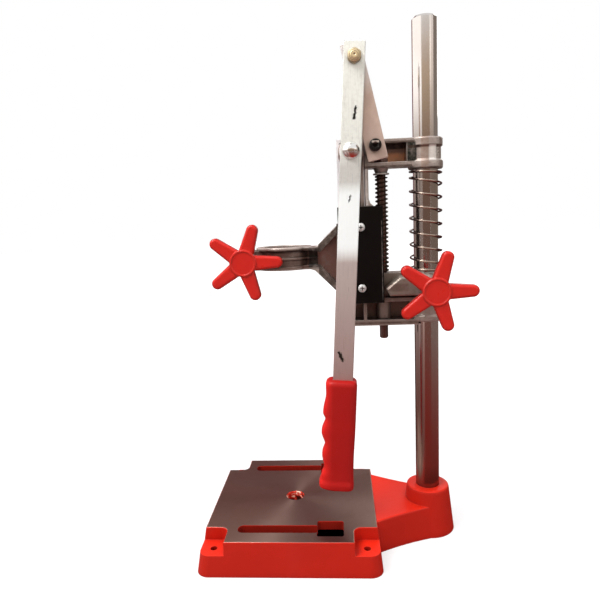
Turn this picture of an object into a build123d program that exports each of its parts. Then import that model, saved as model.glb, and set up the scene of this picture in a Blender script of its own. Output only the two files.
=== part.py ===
from build123d import *
import math
import os

# Bench drill stand: cast base, round column, sliding drill carriage, lever and link
# Millimetres. X+ is the lever side, Y+ is the column side, Z+ is up.
# The origin is on the floor, on the drill axis, in the middle of the four bench bolts.

# Base casting
table_top = 35.0
foot_half_x = 95.4
foot_front = 93.8
foot_back = 92.0
foot_corner = 13.0
table_half_x = 91.4
table_front = 87.6
table_back = 88.0
table_corner = 9.0
lug_floor = 21.3
lug_wall_x = 65.0
lug_wall_y = 64.5
lug_corner = 7.5
bench_bolt_x = 79.8
bench_bolt_y = 76.9
bench_bolt_hole = 3.5
plate_underside = 25.5
table_hole = 9.3
slot_near = 61.2
slot_far = 74.7
slot_front_end = -54.0
slot_back_end = 30.0
entry_near = 53.5
entry_far = 81.0
entry_front = 27.0
entry_back = 54.0

# Column
column_y = 148.0
column_r = 12.5
column_foot = 8.0
column_top = 536.0
neck_top = 34.0
neck_foot_r = 28.0
boss_top = 49.6
boss_r = 22.5
sliding_gap = 0.06

# Bracket casting, clamped on the column
bracket_bottom = 231.5
bracket_top = 286.0
bracket_flange = 260.5
stop_top = 237.5
arm_half = 12.0
arm_back = 3.5
sleeve_r = 17.2
rail_left = 58.2
rail_right = 85.0
rail_wall = 3.3
rail_floor_x = 2.0
rail_back_x = -6.0
rail_top = 422.0
clamp_z = 272.6
clamp_face_x = 42.0

# Carriage casting, at the top of its travel
head_bottom = 390.0
head_top = 420.6
head_r = 15.6
arm_low = 393.0
plate_x = 13.0
plate_face_x = 20.5
plate_left = 57.4
plate_right = 101.2
plate_low = 257.0
plate_high = 355.0
shoe_low = stop_top + 51.0
cheek_left = 86.0
cheek_right = 89.4
cheek_low = 341.0
ring_low = 293.8
ring_high = 317.0
ring_rib_z = 305.4
ring_r = 29.5
collar_bore_r = 21.5
ear_y = -38.2
ear_z = 303.8
ear_r = 10.0
ear_face_x = 15.8
ear_slit = 1.2

# Black cover and its screws
cover_thick = 1.5
cover_screw_y = 80.2
cover_screw_heights = (272.6, 334.5)

# Guide rod and springs
rod_y = 103.2
rod_r = 4.5
rod_low = 215.7
rod_seat = 388.0
washer_thick = 1.6
spring_gap = 0.05
column_wire_r = 1.0
column_coil_r = 15.8
rod_wire_r = 0.85
rod_coil_r = 5.75

# Lever and link
pivot_y = 71.8
pivot_z = 406.8
lever_lean = 3.6
lever_back_x = 43.5
lever_face_x = 49.5
lever_half = 10.0
lever_above = 97.7
top_pin_up = 83.3
bar_below = 300.0
grip_start = 223.0
grip_end = 340.5
first_groove = 263.0
groove_pitch = 26.7
link_back_x = 38.0
link_face_x = 42.5
link_half = 9.6
link_pin_y = 94.7
link_pin_z = 411.1
bolt_r = 4.0
parting_x = 43.0

top_pin_y = pivot_y + top_pin_up * math.sin(math.radians(lever_lean))
top_pin_z = pivot_z + top_pin_up * math.cos(math.radians(lever_lean))


def block(x0, x1, y0, y1, z0, z1):
    return Pos((x0 + x1) / 2, (y0 + y1) / 2, (z0 + z1) / 2) * Box(x1 - x0, y1 - y0, z1 - z0)


def upright(r, x, y, z0, z1):
    return Pos(x, y, (z0 + z1) / 2) * Cylinder(r, z1 - z0)


def cross(r, y, z, x0, x1):
    """A cylinder along X."""
    return Pos((x0 + x1) / 2, y, z) * Rot(0, 90, 0) * Cylinder(r, x1 - x0)


def side_plate(points, x0, x1):
    """A plate drawn as (y, z) points and extruded along X."""
    outline = make_face(Polyline(*[(y, z) for y, z in points], close=True))
    return Pos(x0, 0, 0) * extrude(Plane.YZ * outline, x1 - x0)


def turned(points, x, y):
    """A shape turned about a vertical axis, from (radius, height) points."""
    outline = make_face(Polyline(*[(r, z) for r, z in points], close=True))
    return Pos(x, y, 0) * revolve(Plane.XZ * outline, Axis.Z)


def turned_cross(points, y, z):
    """A shape turned about an axis along X, from (x, radius) points."""
    outline = make_face(Polyline(*[(x, r) for x, r in points], close=True))
    return Pos(0, y, z) * revolve(Plane.XY * outline, Axis.X)


def on_lever(shape):
    """Moves a shape drawn upright around the pivot to the lever's rest lean."""
    return Pos(0, pivot_y, pivot_z) * Rot(-lever_lean, 0, 0) * shape


# Base casting
def neck_outline(z, inset):
    """Plan of the neck: it narrows in a hollow curve from the table to the column."""
    wide = 60.0 - inset
    waist = 38.0 - inset
    end = neck_foot_r - 1.45 * inset
    right = ThreePointArc((wide, 82), (waist, 122), (end, column_y))
    tail = ThreePointArc((end, column_y), (0, column_y + end), (-end, column_y))
    left = ThreePointArc((-end, column_y), (-waist, 122), (-wide, 82))
    foot = Line((-wide, 82), (wide, 82))
    return Pos(0, 0, z) * make_face([right, tail, left, foot])


def make_base():
    foot = Pos(0, (foot_back - foot_front) / 2, 0)
    foot = foot * RectangleRounded(2 * foot_half_x, foot_front + foot_back, foot_corner)
    top = Pos(0, (table_back - table_front) / 2, table_top)
    top = top * RectangleRounded(2 * table_half_x, table_front + table_back, table_corner)
    body = loft([foot, top], ruled=True)
    for sx in (-1, 1):
        for sy in (-1, 1):
            notch = block(0, 60, 0, 60, 0, 40)
            inner = notch.edges().filter_by(Axis.Z).sort_by(lambda e: e.center().X + e.center().Y)[0]
            notch = fillet(inner, lug_corner)
            x = lug_wall_x if sx > 0 else -lug_wall_x
            y = lug_wall_y if sy > 0 else -lug_wall_y
            turn = {(1, 1): 0, (-1, 1): 90, (-1, -1): 180, (1, -1): 270}[(sx, sy)]
            body -= Pos(x, y, lug_floor) * Rot(0, 0, turn) * notch
    body = fillet(body.edges().group_by(Axis.Z)[-1], 1.2)
    neck = loft([neck_outline(0, 0), neck_outline(neck_top, 3.2)], ruled=True)
    neck = fillet(neck.edges().group_by(Axis.Z)[-1].sort_by(Axis.Y)[1:], 2.0)
    body += neck
    body += turned([(0, 0), (neck_foot_r + 0.2, 0), (boss_r + 0.3, boss_top - 2.6),
                    (boss_r - 0.3, boss_top - 0.8), (boss_r - 1.6, boss_top), (0, boss_top)], 0, column_y)

    # Hollow underside, with a rib cross and a boss round the table hole
    hollow = extrude(Rectangle(2 * 85.0, 2 * 57.0), plate_underside, taper=3)
    hollow += extrude(Rectangle(2 * 57.5, 2 * 81.0), plate_underside, taper=3)
    hollow -= block(-2.5, 2.5, -90, 90, 8, 40)
    hollow -= block(-48, 48, -2.5, 2.5, 8, 40)
    hollow -= upright(15, 0, 0, 8, 40)
    body -= hollow
    body -= Pos(0, 106, 0) * extrude(RectangleRounded(50, 22, 5), 24, taper=4)

    # Table hole, clamping slots with their wide entries, bench bolt holes and column bore
    body -= upright(table_hole, 0, 0, -1, 60)
    body -= Pos(0, 0, table_top - 0.395) * Cone(table_hole, table_hole + 0.8, 0.81)
    for side in (-1, 1):
        x = side * (slot_near + slot_far) / 2
        length = slot_back_end - slot_front_end
        slot = Pos(x, (slot_front_end + slot_back_end) / 2)
        body -= extrude(slot * RectangleRounded(slot_far - slot_near, length, 6.0), 60)
        entry = Pos(side * (entry_near + entry_far) / 2, (entry_front + entry_back) / 2)
        body -= extrude(entry * RectangleRounded(entry_far - entry_near, entry_back - entry_front, 2.5), 60)
        for end in (-1, 1):
            body -= upright(bench_bolt_hole, side * bench_bolt_x, end * bench_bolt_y, -1, 60)
    body -= upright(column_r, 0, column_y, column_foot, 80)
    return body


def make_column():
    bar = upright(column_r, 0, column_y, column_foot, column_top)
    bar = chamfer(bar.edges().group_by(Axis.Z)[-1], 2.4)
    return chamfer(bar.edges().group_by(Axis.Z)[0], 1.0)


# Bracket casting
def make_bracket():
    body = turned([(0, 235), (sleeve_r, 235), (sleeve_r + 1.2, 236.2), (sleeve_r + 1.2, 240.5),
                   (sleeve_r, 242), (sleeve_r, bracket_top), (0, bracket_top)], 0, column_y)

    # Channel arm, open toward the lever side
    body += block(-arm_half, -arm_half + arm_back, rail_left, column_y, bracket_bottom, bracket_top)
    body += block(-arm_half, arm_half, rail_left, column_y - 10, bracket_flange - 4, bracket_flange)
    body += block(-arm_half, arm_half, rail_left, column_y - 10, bracket_bottom, stop_top)
    body += upright(7.6, 0, rod_y, bracket_bottom, bracket_top)
    body += block(-arm_half, 9, rod_y - 1, column_y, bracket_flange + 4, bracket_top)
    body += upright(9, 0, rod_y, bracket_flange + 4, bracket_top)

    # Tapered rib and round boss that carry the clamp screw
    rib = side_plate([(104.2, 272), (118, 283.5), (column_y, bracket_top - 1),
                      (column_y, bracket_flange + 4), (108, bracket_flange + 4)], 6, 30)
    body += chamfer(rib.edges().group_by(Axis.X)[-1], 1.6)
    body += turned_cross([(5, 0), (5, 11.5), (clamp_face_x - 2, 11.5), (clamp_face_x, 10),
                          (clamp_face_x, 0)], column_y, clamp_z)

    # Upright channel rail behind the lever, with the pivot boss at its top. The shoe runs in it, through
    # the arm's upper flange and down to the lower one, and the arm is hollow again below the upper flange.
    body += block(rail_back_x, arm_half, rail_left, rail_right, bracket_bottom, rail_top)
    body += block(-arm_half, rail_back_x + 1, rail_left, rail_right, bracket_bottom, bracket_top)
    inside = (rail_left + rail_wall, rail_right - rail_wall)
    body -= block(rail_floor_x, arm_half + 1, *inside, stop_top, rail_top - rail_wall)
    body -= block(-arm_half + arm_back, arm_half + 1, *inside, stop_top, bracket_flange - 4)
    body += turned_cross([(0, 0), (0, 12.2), (link_face_x - 1.2, 12.2), (link_face_x, 11),
                          (link_face_x, 0)], pivot_y, pivot_z)

    body -= upright(column_r + sliding_gap, 0, column_y, 200, 300)
    body -= upright(rod_r + sliding_gap, 0, rod_y, 200, 300)
    body -= cross(bolt_r, pivot_y, pivot_z, 8, 60)
    body -= cross(bolt_r + 0.05, column_y, clamp_z, 0, 60)
    return body


# Carriage casting
def make_ring():
    """Split collar for the 43 mm neck: three flanges round a thin wall."""
    groove_r = 25.6
    rib_r = ring_r - 0.8
    wall = [(18, ring_low), (rib_r, ring_low), (ring_r, ring_low + 0.8), (ring_r, ring_low + 3.2),
            (groove_r, ring_low + 4.6), (groove_r, ring_rib_z - 2.0), (rib_r, ring_rib_z - 0.9),
            (rib_r, ring_rib_z + 0.9), (groove_r, ring_rib_z + 2.0), (groove_r, ring_high - 4.6),
            (ring_r, ring_high - 3.2), (ring_r, ring_high - 0.8), (rib_r, ring_high), (18, ring_high)]
    return turned(wall, 0, 0)


def make_carriage():
    # Upper sleeve with a rolled bead at each end
    body = turned([(0, head_bottom), (16.4, head_bottom), (17.4, 391.2), (17.6, 394.6), (17.4, 397.4),
                   (head_r, 399.6), (head_r, 411.4), (17.2, 412.6), (17.2, 419.4), (16.4, head_top),
                   (0, head_top)], 0, column_y)

    # Channel arm from the sleeve to the cheek, open toward the lever side
    body += block(-arm_half, -arm_half + arm_back, cheek_left, column_y, arm_low, head_top)
    body += block(-arm_half, arm_half, cheek_left, column_y - 10, head_top - 4.1, head_top)
    body += block(-arm_half, arm_half, cheek_left, column_y - 10, arm_low, arm_low + 5)
    body += block(-arm_half, arm_half, cheek_left, cheek_right, arm_low, head_top)
    body += block(-arm_half, arm_half, column_y - 20, column_y - 8, arm_low, head_top)
    body += turned([(0, rod_seat), (6.0, rod_seat), (8.0, arm_low + 0.5), (0, arm_low + 0.5)], 0, rod_y)
    body += cross(8.2, link_pin_y, link_pin_z, -arm_half, link_back_x - 1)

    # Cheek and front plate that slide round the rail
    body += block(rail_back_x, plate_face_x, cheek_left, cheek_right, cheek_low, plate_high + 3)
    body += side_plate([(cheek_left, plate_high), (cheek_right, plate_high), (cheek_right, arm_low + 1),
                        (cheek_left, arm_low + 1)], rail_back_x, arm_half)
    body += side_plate([(cheek_left, plate_high - 1), (cheek_right + 6, plate_high - 1),
                        (cheek_right + 4.5, plate_high), (cheek_right + 1.0, plate_high + 3),
                        (cheek_right, plate_high + 6), (cheek_left, plate_high + 6)], plate_x, plate_face_x)
    body += block(plate_x, plate_face_x, plate_left, plate_right, plate_low, plate_high)
    body += block(rail_floor_x + 0.6, plate_x, rail_left + rail_wall + 0.15, rail_right - rail_wall - 0.15,
                  shoe_low, plate_high - 4)

    # Funnel gusset from the front plate to the collar ring
    root_low, root_high = 266.6, 338.7
    root_y = plate_left + 0.5
    upper = [(20, ring_high - 0.6), (34.5, ring_high - 0.6), (root_y, root_high), (root_y, root_high - 8.2),
             (38.5, ring_high - 6.0), (34, ring_high - 4.4), (20, ring_high - 4.0)]
    lower = [(20, ring_low), (28.5, ring_low), (33.0, ring_low - 1.6), (root_y, root_low),
             (root_y, root_low + 8.4), (38.0, ring_low + 3.6), (33.5, ring_low + 4.6), (20, ring_low + 4)]
    body += side_plate(upper, -9, plate_face_x)
    body += side_plate(lower, -9, plate_face_x)
    body += side_plate([(20, ring_high - 2), (36, ring_high - 2), (plate_left, root_high - 2),
                        (plate_left, root_low + 2), (36, ring_low + 2), (20, ring_low + 2)], 4, 8)
    body += side_plate([(24, ring_rib_z - 0.9), (33, ring_rib_z - 0.9), (36, ring_rib_z),
                        (33, ring_rib_z + 0.9), (24, ring_rib_z + 0.9)], 4, 14)
    body += block(4, plate_face_x, plate_left - 1.6, plate_left + 0.1, root_low, root_high)

    # Collar ring and its two clamping ears
    body += make_ring()
    ears = cross(ear_r, ear_y, ear_z, -ear_face_x, ear_face_x)
    ears += block(-ear_face_x, ear_face_x, ear_y, -20, ear_z - ear_r, ear_z + ear_r)
    body += ears

    body -= upright(collar_bore_r, 0, 0, 200, 340)
    body -= block(-ear_slit, ear_slit, -60, -10, 280, 330)
    body -= cross(bolt_r + 0.05, ear_y, ear_z, -40, 40)
    body -= upright(column_r + sliding_gap, 0, column_y, 380, 430)
    body -= upright(rod_r, 0, rod_y, 380, arm_low + 6)
    body -= cross(bolt_r, link_pin_y, link_pin_z, 0, 60)
    for z in cover_screw_heights:
        body -= cross(2.0, cover_screw_y, z, 12, 30)
    return body


# Black cover on the front plate, with two cross-head screws
def make_cover():
    outer = plate_face_x + cover_thick
    cover = block(plate_face_x, outer, plate_left - 0.2, plate_right + 1.5, plate_low, plate_high)
    cover += block(plate_x + 1, outer, plate_right + 0.1, plate_right + 1.5, plate_low, plate_high)
    bend = cover.edges().filter_by(Axis.Z).sort_by(lambda e: e.center().X + e.center().Y)[-1]
    cover = fillet(bend, 1.2)
    for z in cover_screw_heights:
        cover -= cross(2.15, cover_screw_y, z, 12, 30)
    return cover


def make_cover_screw(z):
    face = plate_face_x + cover_thick
    screw = turned_cross([(face - 8.4, 0), (face - 8.4, 1.6), (face - 7.8, 1.98), (face, 1.98),
                          (face, 4.2), (face + 0.9, 4.2), (face + 1.9, 3.5), (face + 2.6, 2.2),
                          (face + 2.9, 0)], cover_screw_y, z)
    for turn in (0, 90):
        screw -= Pos(face + 2.2, cover_screw_y, z) * Rot(turn, 0, 0) * Box(2.4, 4.0, 0.9)
    return screw


# Guide rod, its nut and the spring washer
def make_rod():
    rod = upright(rod_r, 0, rod_y, rod_low, arm_low + 9.7)
    return chamfer(rod.edges().group_by(Axis.Z)[0], 1.2)


def hexagon_nut(across, height, bore):
    prism = extrude(RegularPolygon(across / 2, 6, major_radius=False), height)
    rim = across / 2 * 1.06
    wide = rim + height / 2 * 1.7
    facing = turned([(0, 0), (rim, 0), (wide, height / 2), (rim, height), (0, height)], 0, 0)
    return (prism & facing) - Cylinder(bore, 3 * height)


def make_rod_nut():
    return Pos(0, rod_y, arm_low + 5) * hexagon_nut(13.5, 4.5, rod_r)


def ring_washer(outer, inner, thick):
    disc = Cylinder(outer, thick, align=(Align.CENTER, Align.CENTER, Align.MIN))
    disc = chamfer(disc.edges(), min(0.2, thick / 4))
    return disc - Cylinder(inner, 10)


def make_rod_washer():
    return Pos(0, rod_y, rod_seat - washer_thick) * ring_washer(8.2, rod_r + 0.05, washer_thick)


# Compression springs, each one unbroken wire on biarcs of half a turn
def coil_point(turns, coil_r, heights, start, hand):
    angle = math.radians(start) + hand * 2 * math.pi * turns
    return Vector(coil_r * math.cos(angle), coil_r * math.sin(angle), heights(turns))


def coil_tangent(turns, coil_r, heights, start, hand):
    step = 1e-4
    ahead = coil_point(turns + step, coil_r, heights, start, hand)
    behind = coil_point(turns - step, coil_r, heights, start, hand)
    return (ahead - behind).normalized()


def arc_through(a, corner, b):
    """Circular arc from a to b whose end tangents meet at corner."""
    middle = (a + b) * 0.5
    chord = (b - a).length
    bow = math.acos(min(1.0, (corner - a).normalized().dot((b - a).normalized())))
    top = middle + (corner - middle).normalized() * (chord / 2 * math.tan(bow / 2))
    return ThreePointArc(a, top, b)


def coil_heights(low, high, turns, end_turns, end_pitch):
    """Height by turn: a close coil at each end and an even pitch between them."""
    pitch = (high - low - 2 * end_turns * end_pitch) / (turns - 2 * end_turns)
    ease = 0.25

    def climb(t):
        # Smooth change from the end pitch to the working pitch round t = end_turns
        if t <= end_turns - ease:
            return end_pitch * t
        if t >= end_turns + ease:
            return end_pitch * end_turns + pitch * (t - end_turns)
        blend = (t - end_turns + ease) / (2 * ease)
        return end_pitch * t + (pitch - end_pitch) * ease * blend * blend

    def height(t):
        return low + climb(t) if t < turns / 2 else high - climb(turns - t)

    return height


def make_spring(x, y, coil_r, wire_r, heights, turns, start, hand):
    edges = []
    count = round(turns * 2)
    for i in range(count):
        t0, t1 = turns * i / count, turns * (i + 1) / count
        p0 = coil_point(t0, coil_r, heights, start, hand)
        p1 = coil_point(t1, coil_r, heights, start, hand)
        d0 = coil_tangent(t0, coil_r, heights, start, hand)
        d1 = coil_tangent(t1, coil_r, heights, start, hand)
        gap = p1 - p0
        both = d0 + d1
        a = both.dot(both) - 4
        b = -2 * gap.dot(both)
        c = gap.dot(gap)
        reach = (-b - math.sqrt(b * b - 4 * a * c)) / (2 * a)
        q0 = p0 + d0 * reach
        q1 = p1 - d1 * reach
        joint = (q0 + q1) * 0.5
        edges.append(arc_through(p0, q0, joint))
        edges.append(arc_through(joint, q1, p1))
    path = Wire(edges)
    first = coil_point(0, coil_r, heights, start, hand)
    along = coil_tangent(0, coil_r, heights, start, hand)
    tube = sweep(Plane(origin=first, z_dir=along) * Circle(wire_r), path=path)
    return Pos(x, y, 0) * tube


def least_gap(coil_r, wire_r, heights, turns, start, hand):
    """Smallest clear distance between a wire and the turns next to it, measured on points."""
    steps = 48
    count = int(turns * steps) + 1
    points = [coil_point(i / steps, coil_r, heights, start, hand) for i in range(count)]
    best = 1e9
    for i, p in enumerate(points):
        for q in points[i + steps * 3 // 4: i + steps * 5 // 4]:
            best = min(best, (p - q).length)
    return best - 2 * wire_r


def make_column_spring():
    low = bracket_top + spring_gap + column_wire_r
    high = head_bottom - spring_gap - column_wire_r
    turns = 9.0
    heights = coil_heights(low, high, turns, 1.0, 3.4)
    gap = least_gap(column_coil_r, column_wire_r, heights, turns, 170, -1)
    print("column spring least gap", round(gap, 2))
    return make_spring(0, column_y, column_coil_r, column_wire_r, heights, turns, 170, -1)


def make_rod_spring():
    low = bracket_top + spring_gap + rod_wire_r
    high = rod_seat - washer_thick - spring_gap - rod_wire_r
    turns = 23.5
    heights = coil_heights(low, high, turns, 1.0, 2.5)
    gap = least_gap(rod_coil_r, rod_wire_r, heights, turns, 200, 1)
    print("rod spring least gap", round(gap, 2))
    return make_spring(0, rod_y, rod_coil_r, rod_wire_r, heights, turns, 200, 1)


# Lever bar, grip and pivot bolt
def make_lever():
    bar = block(lever_back_x, lever_face_x, -lever_half, lever_half, -bar_below, lever_above)
    bar = fillet(bar.edges().filter_by(Axis.X), 1.5)
    bar = chamfer(bar.edges().group_by(Axis.X)[-1] + bar.edges().group_by(Axis.X)[0], 0.5)
    bar -= cross(bolt_r + 0.05, 0, 0, 30, 60)
    bar -= cross(bolt_r, 0, top_pin_up, 30, 60)
    return on_lever(bar)


def grip_section(down, front, back, half_x):
    """Cross-section of the grip, down the lever from the pivot."""
    middle_x = (lever_back_x + lever_face_x) / 2
    plane = Plane(origin=(middle_x, (back - front) / 2, -down), z_dir=(0, 0, -1), x_dir=(0, 1, 0))
    corner = min(half_x, (front + back) / 2) - 0.6
    return plane * RectangleRounded(front + back, 2 * half_x, corner)


def make_grip():
    sections = [grip_section(grip_start, 15.4, 12.8, 9.6), grip_section(grip_start + 2.4, 17.7, 14.8, 11.4)]
    sections.append(grip_section(grip_start + 9.0, 18.0, 15.0, 11.8))
    sections.append(grip_section(grip_start + 22.0, 17.8, 14.8, 11.8))
    for i in range(3):
        groove = first_groove + i * groove_pitch
        sections.append(grip_section(groove - 7.0, 19.8, 14.4, 11.9))
        sections.append(grip_section(groove, 17.3, 14.4, 11.7))
        if i < 2:
            sections.append(grip_section(groove + 8.0, 19.4, 14.4, 11.9))
    sections.append(grip_section(grip_end - 17.5, 21.6, 15.6, 13.2))
    sections.append(grip_section(grip_end - 12.5, 24.0, 16.8, 14.8))
    sections.append(grip_section(grip_end - 6.5, 23.4, 16.8, 14.8))
    sections.append(grip_section(grip_end - 2.4, 21.2, 15.4, 13.4))
    sections.append(grip_section(grip_end, 16.4, 11.4, 9.8))
    grip = loft(sections)
    mouth = block(lever_back_x, lever_face_x, -lever_half, lever_half, -bar_below, -grip_start + 5)
    return on_lever(grip - mouth)


def make_pivot_bolt():
    face = lever_face_x + 0.1
    bolt = cross(bolt_r, 0, 0, 16, face + 1)
    dome_r, dome_h = 8.4, 5.6
    low = Line((face, dome_r), (face, 0))
    axis_line = Line((face, 0), (face + dome_h, 0))
    bow = ThreePointArc((face + dome_h, 0), (face + dome_h * 0.78, dome_r * 0.6), (face, dome_r))
    dome = revolve(make_face([low, axis_line, bow]), Axis.X)
    return on_lever(bolt + dome)


def make_pivot_washer():
    return Pos(link_face_x + 0.05, pivot_y, pivot_z) * Rot(0, 90, 0) * ring_washer(9.5, bolt_r, 0.9)


# Link bar and its bolts
def make_link():
    lean = math.degrees(math.atan2(link_pin_y - top_pin_y, top_pin_z - link_pin_z))
    length = math.hypot(link_pin_y - top_pin_y, top_pin_z - link_pin_z)
    bar = block(link_back_x, link_face_x, -link_half, link_half, -13.5, length + 15.5)
    bar = fillet(bar.edges().filter_by(Axis.X), 0.8)
    bar = chamfer(bar.edges().group_by(Axis.X)[-1], 0.4)
    bar -= cross(bolt_r + 0.05, 0, 0, 20, 60)
    bar -= cross(bolt_r, 0, length, 20, 60)
    return Pos(0, link_pin_y, link_pin_z) * Rot(lean, 0, 0) * bar


def make_link_screw():
    """Black cap screw with a hexagon socket, screwed into the carriage arm."""
    face = link_face_x + 0.1
    screw = turned_cross([(10, 0), (10, 3.4), (10.6, bolt_r), (face, bolt_r), (face, 5.7), (face + 6.4, 5.7),
                          (face + 7, 5.1), (face + 7, 0)], link_pin_y, link_pin_z)
    mouth = Plane(origin=(face + 7.1, link_pin_y, link_pin_z), z_dir=(-1, 0, 0))
    return screw - extrude(mouth * RegularPolygon(2.6, 6, major_radius=False), 4.2)


def make_link_washer():
    return Pos(link_back_x - 0.95, link_pin_y, link_pin_z) * Rot(0, 90, 0) * ring_washer(8.0, bolt_r, 0.9)


def make_top_bolt():
    """Head half of the top bolt, behind the link, up to the parting plane."""
    back = Plane(origin=(link_back_x - 5.4, 0, top_pin_up), z_dir=(1, 0, 0))
    bolt = extrude(back * RegularPolygon(6.5, 6, major_radius=False), 5.3)
    bolt += cross(bolt_r, 0, top_pin_up, link_back_x - 1, parting_x - 0.05)
    return on_lever(bolt)


def make_top_bolt_end():
    """Thread end of the top bolt, in the lever, from the parting plane outward."""
    end = turned_cross([(parting_x + 0.05, 0), (parting_x + 0.05, bolt_r), (57.1, bolt_r), (57.8, 3.3),
                        (57.8, 1.3), (57.2, 0)], 0, top_pin_up)
    return on_lever(end)


def make_top_nut():
    """Self-locking nut: a hexagon with turned-off corners and a round collar in front."""
    prism = extrude(RegularPolygon(6.2, 6, major_radius=False), 5.6)
    rounding = turned([(0, 0), (6.2, 0), (6.65, 0.5), (6.65, 4.9), (5.9, 5.6), (0, 5.6)], 0, 0)
    nut = (prism & rounding) - Cylinder(bolt_r, 20)
    nut = Pos(lever_face_x + 0.05, 0, top_pin_up) * Rot(0, 90, 0) * nut
    face = lever_face_x
    nut += turned_cross([(face + 5.4, bolt_r), (face + 5.4, 5.5), (face + 6.8, 5.4),
                         (face + 7.4, 4.8), (face + 7.4, bolt_r)], 0, top_pin_up)
    return on_lever(nut)


def make_top_washer():
    ring = Pos(link_face_x + 0.05, 0, top_pin_up) * Rot(0, 90, 0) * ring_washer(8.0, bolt_r + 0.05, 0.4)
    return on_lever(ring)


# Star knobs with steel studs
def knob_arm(length, root, tip, depth):
    """One arm of the star, lying along X with its thickness along Z."""
    neck = length - tip
    outline = make_face(Polyline((0, -root), (neck, -tip), (neck, tip), (0, root), close=True))
    outline += Pos(neck, 0) * Circle(tip)
    arm = extrude(outline, depth)
    rims = arm.edges().group_by(Axis.Z)
    return fillet(rims[-1] + rims[0], 3.0)


def make_knob(face_x, y, z):
    """Five-armed star knob whose neck starts at face_x and points along X."""
    knob = turned([(0, 0), (8.6, 0), (9.6, 15), (0, 15)], 0, 0)
    for i in range(5):
        knob += Rot(0, 0, 72 * i) * Pos(0, 0, 14.2) * knob_arm(39.5, 8.6, 5.8, 9.8)
    hub = turned([(0, 13.2), (11.8, 13.2), (13.6, 14.6), (13.6, 24.4), (12.8, 25.2), (11.6, 25.2),
                  (11.2, 24.6), (0, 24.6)], 0, 0)
    knob += hub
    knob -= Cylinder(bolt_r, 18, align=(Align.CENTER, Align.CENTER, Align.MIN))
    # Local X goes to +Y and local Z to +X
    return Plane(origin=(face_x, y, z), x_dir=(0, 1, 0), z_dir=(1, 0, 0)) * knob


def make_stud(x0, x1, y, z):
    stud = cross(bolt_r, y, z, x0, x1)
    return chamfer(stud.edges().group_by(Axis.X)[0], 0.8)


def make_ear_nut():
    return Pos(-ear_face_x - 0.05, ear_y, ear_z) * Rot(0, -90, 0) * hexagon_nut(13.0, 6.5, bolt_r + 0.05)


clamp_knob_x = clamp_face_x + 0.4
collar_knob_x = ear_face_x + 0.4

nodes = {
    "base_casting": make_base(),
    "column_bar": make_column(),
    "bracket_casting": make_bracket(),
    "clamp_knob": make_knob(clamp_knob_x, column_y, clamp_z),
    "clamp_stud": make_stud(column_r + 0.1, clamp_knob_x + 18, column_y, clamp_z),
    "lever_pivot_bolt": make_pivot_bolt(),
    "lever_pivot_washer": make_pivot_washer(),
    "lever_bar": make_lever(),
    "lever_grip": make_grip(),
    "link_top_nut": make_top_nut(),
    "link_top_bolt_end": make_top_bolt_end(),
    "link_bar": make_link(),
    "link_top_bolt_head": make_top_bolt(),
    "link_top_washer": make_top_washer(),
    "link_lower_screw": make_link_screw(),
    "link_lower_washer": make_link_washer(),
    "carriage_casting": make_carriage(),
    "carriage_cover": make_cover(),
    "cover_screws": Compound([make_cover_screw(z) for z in cover_screw_heights]),
    "guide_rod": make_rod(),
    "guide_rod_nut": make_rod_nut(),
    "rod_spring_washer": make_rod_washer(),
    "rod_spring": make_rod_spring(),
    "column_spring": make_column_spring(),
    "collar_knob": make_knob(collar_knob_x, ear_y, ear_z),
    "collar_stud": make_stud(-ear_face_x - 8.5, collar_knob_x + 18, ear_y, ear_z),
    "collar_nut": make_ear_nut(),
}

os.makedirs("parts", exist_ok=True)
for name, shape in nodes.items():
    export_step(shape, f"parts/{name}.step")
    print(name, len(shape.solids()), round(shape.volume / 1000, 2), "cm3")
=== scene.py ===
# %% [markdown]
# # A bench drill stand
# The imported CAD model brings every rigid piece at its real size. This lesson gives the pieces their
# finishes, makes the grip and the two springs again in a finer form, and sets up the camera, the floor and
# the lights. Lengths are metres, unless a comment says millimetres.

# %% Load the frame
import bpy
import bmesh
import math
from mathutils import Matrix, Vector


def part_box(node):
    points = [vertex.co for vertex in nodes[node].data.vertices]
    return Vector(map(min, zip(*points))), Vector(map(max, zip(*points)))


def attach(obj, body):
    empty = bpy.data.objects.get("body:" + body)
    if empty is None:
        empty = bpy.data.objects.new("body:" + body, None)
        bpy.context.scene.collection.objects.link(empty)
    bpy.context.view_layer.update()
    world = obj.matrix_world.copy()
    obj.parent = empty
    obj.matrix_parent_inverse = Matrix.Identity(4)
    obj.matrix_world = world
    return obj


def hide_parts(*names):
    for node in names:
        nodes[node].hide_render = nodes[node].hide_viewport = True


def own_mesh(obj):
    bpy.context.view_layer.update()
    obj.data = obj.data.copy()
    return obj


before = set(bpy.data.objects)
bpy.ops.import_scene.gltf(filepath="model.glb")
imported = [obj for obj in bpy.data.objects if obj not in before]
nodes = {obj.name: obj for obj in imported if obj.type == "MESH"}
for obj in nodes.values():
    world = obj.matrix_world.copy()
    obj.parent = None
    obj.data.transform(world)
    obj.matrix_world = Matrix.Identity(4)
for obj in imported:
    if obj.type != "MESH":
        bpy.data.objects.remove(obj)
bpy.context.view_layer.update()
scene = bpy.context.scene
print("frame loaded:", len(nodes), "nodes")

# %% [markdown]
# ## Camera
# The photo was taken from close by, a little above the middle of the stand, with the camera rolled by
# two degrees. The place, the turn and the lens come from fitting straight edges of the base and the
# column, so the render lines up with the photo without any shift.

# %% Camera
camera_place = Vector((0.5801, 0.0577, 0.3475))
camera_yaw, camera_pitch, camera_roll = 0.07449, 0.15063, -0.04194
focal_pixels, picture_pixels = 548.2, 600

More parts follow.
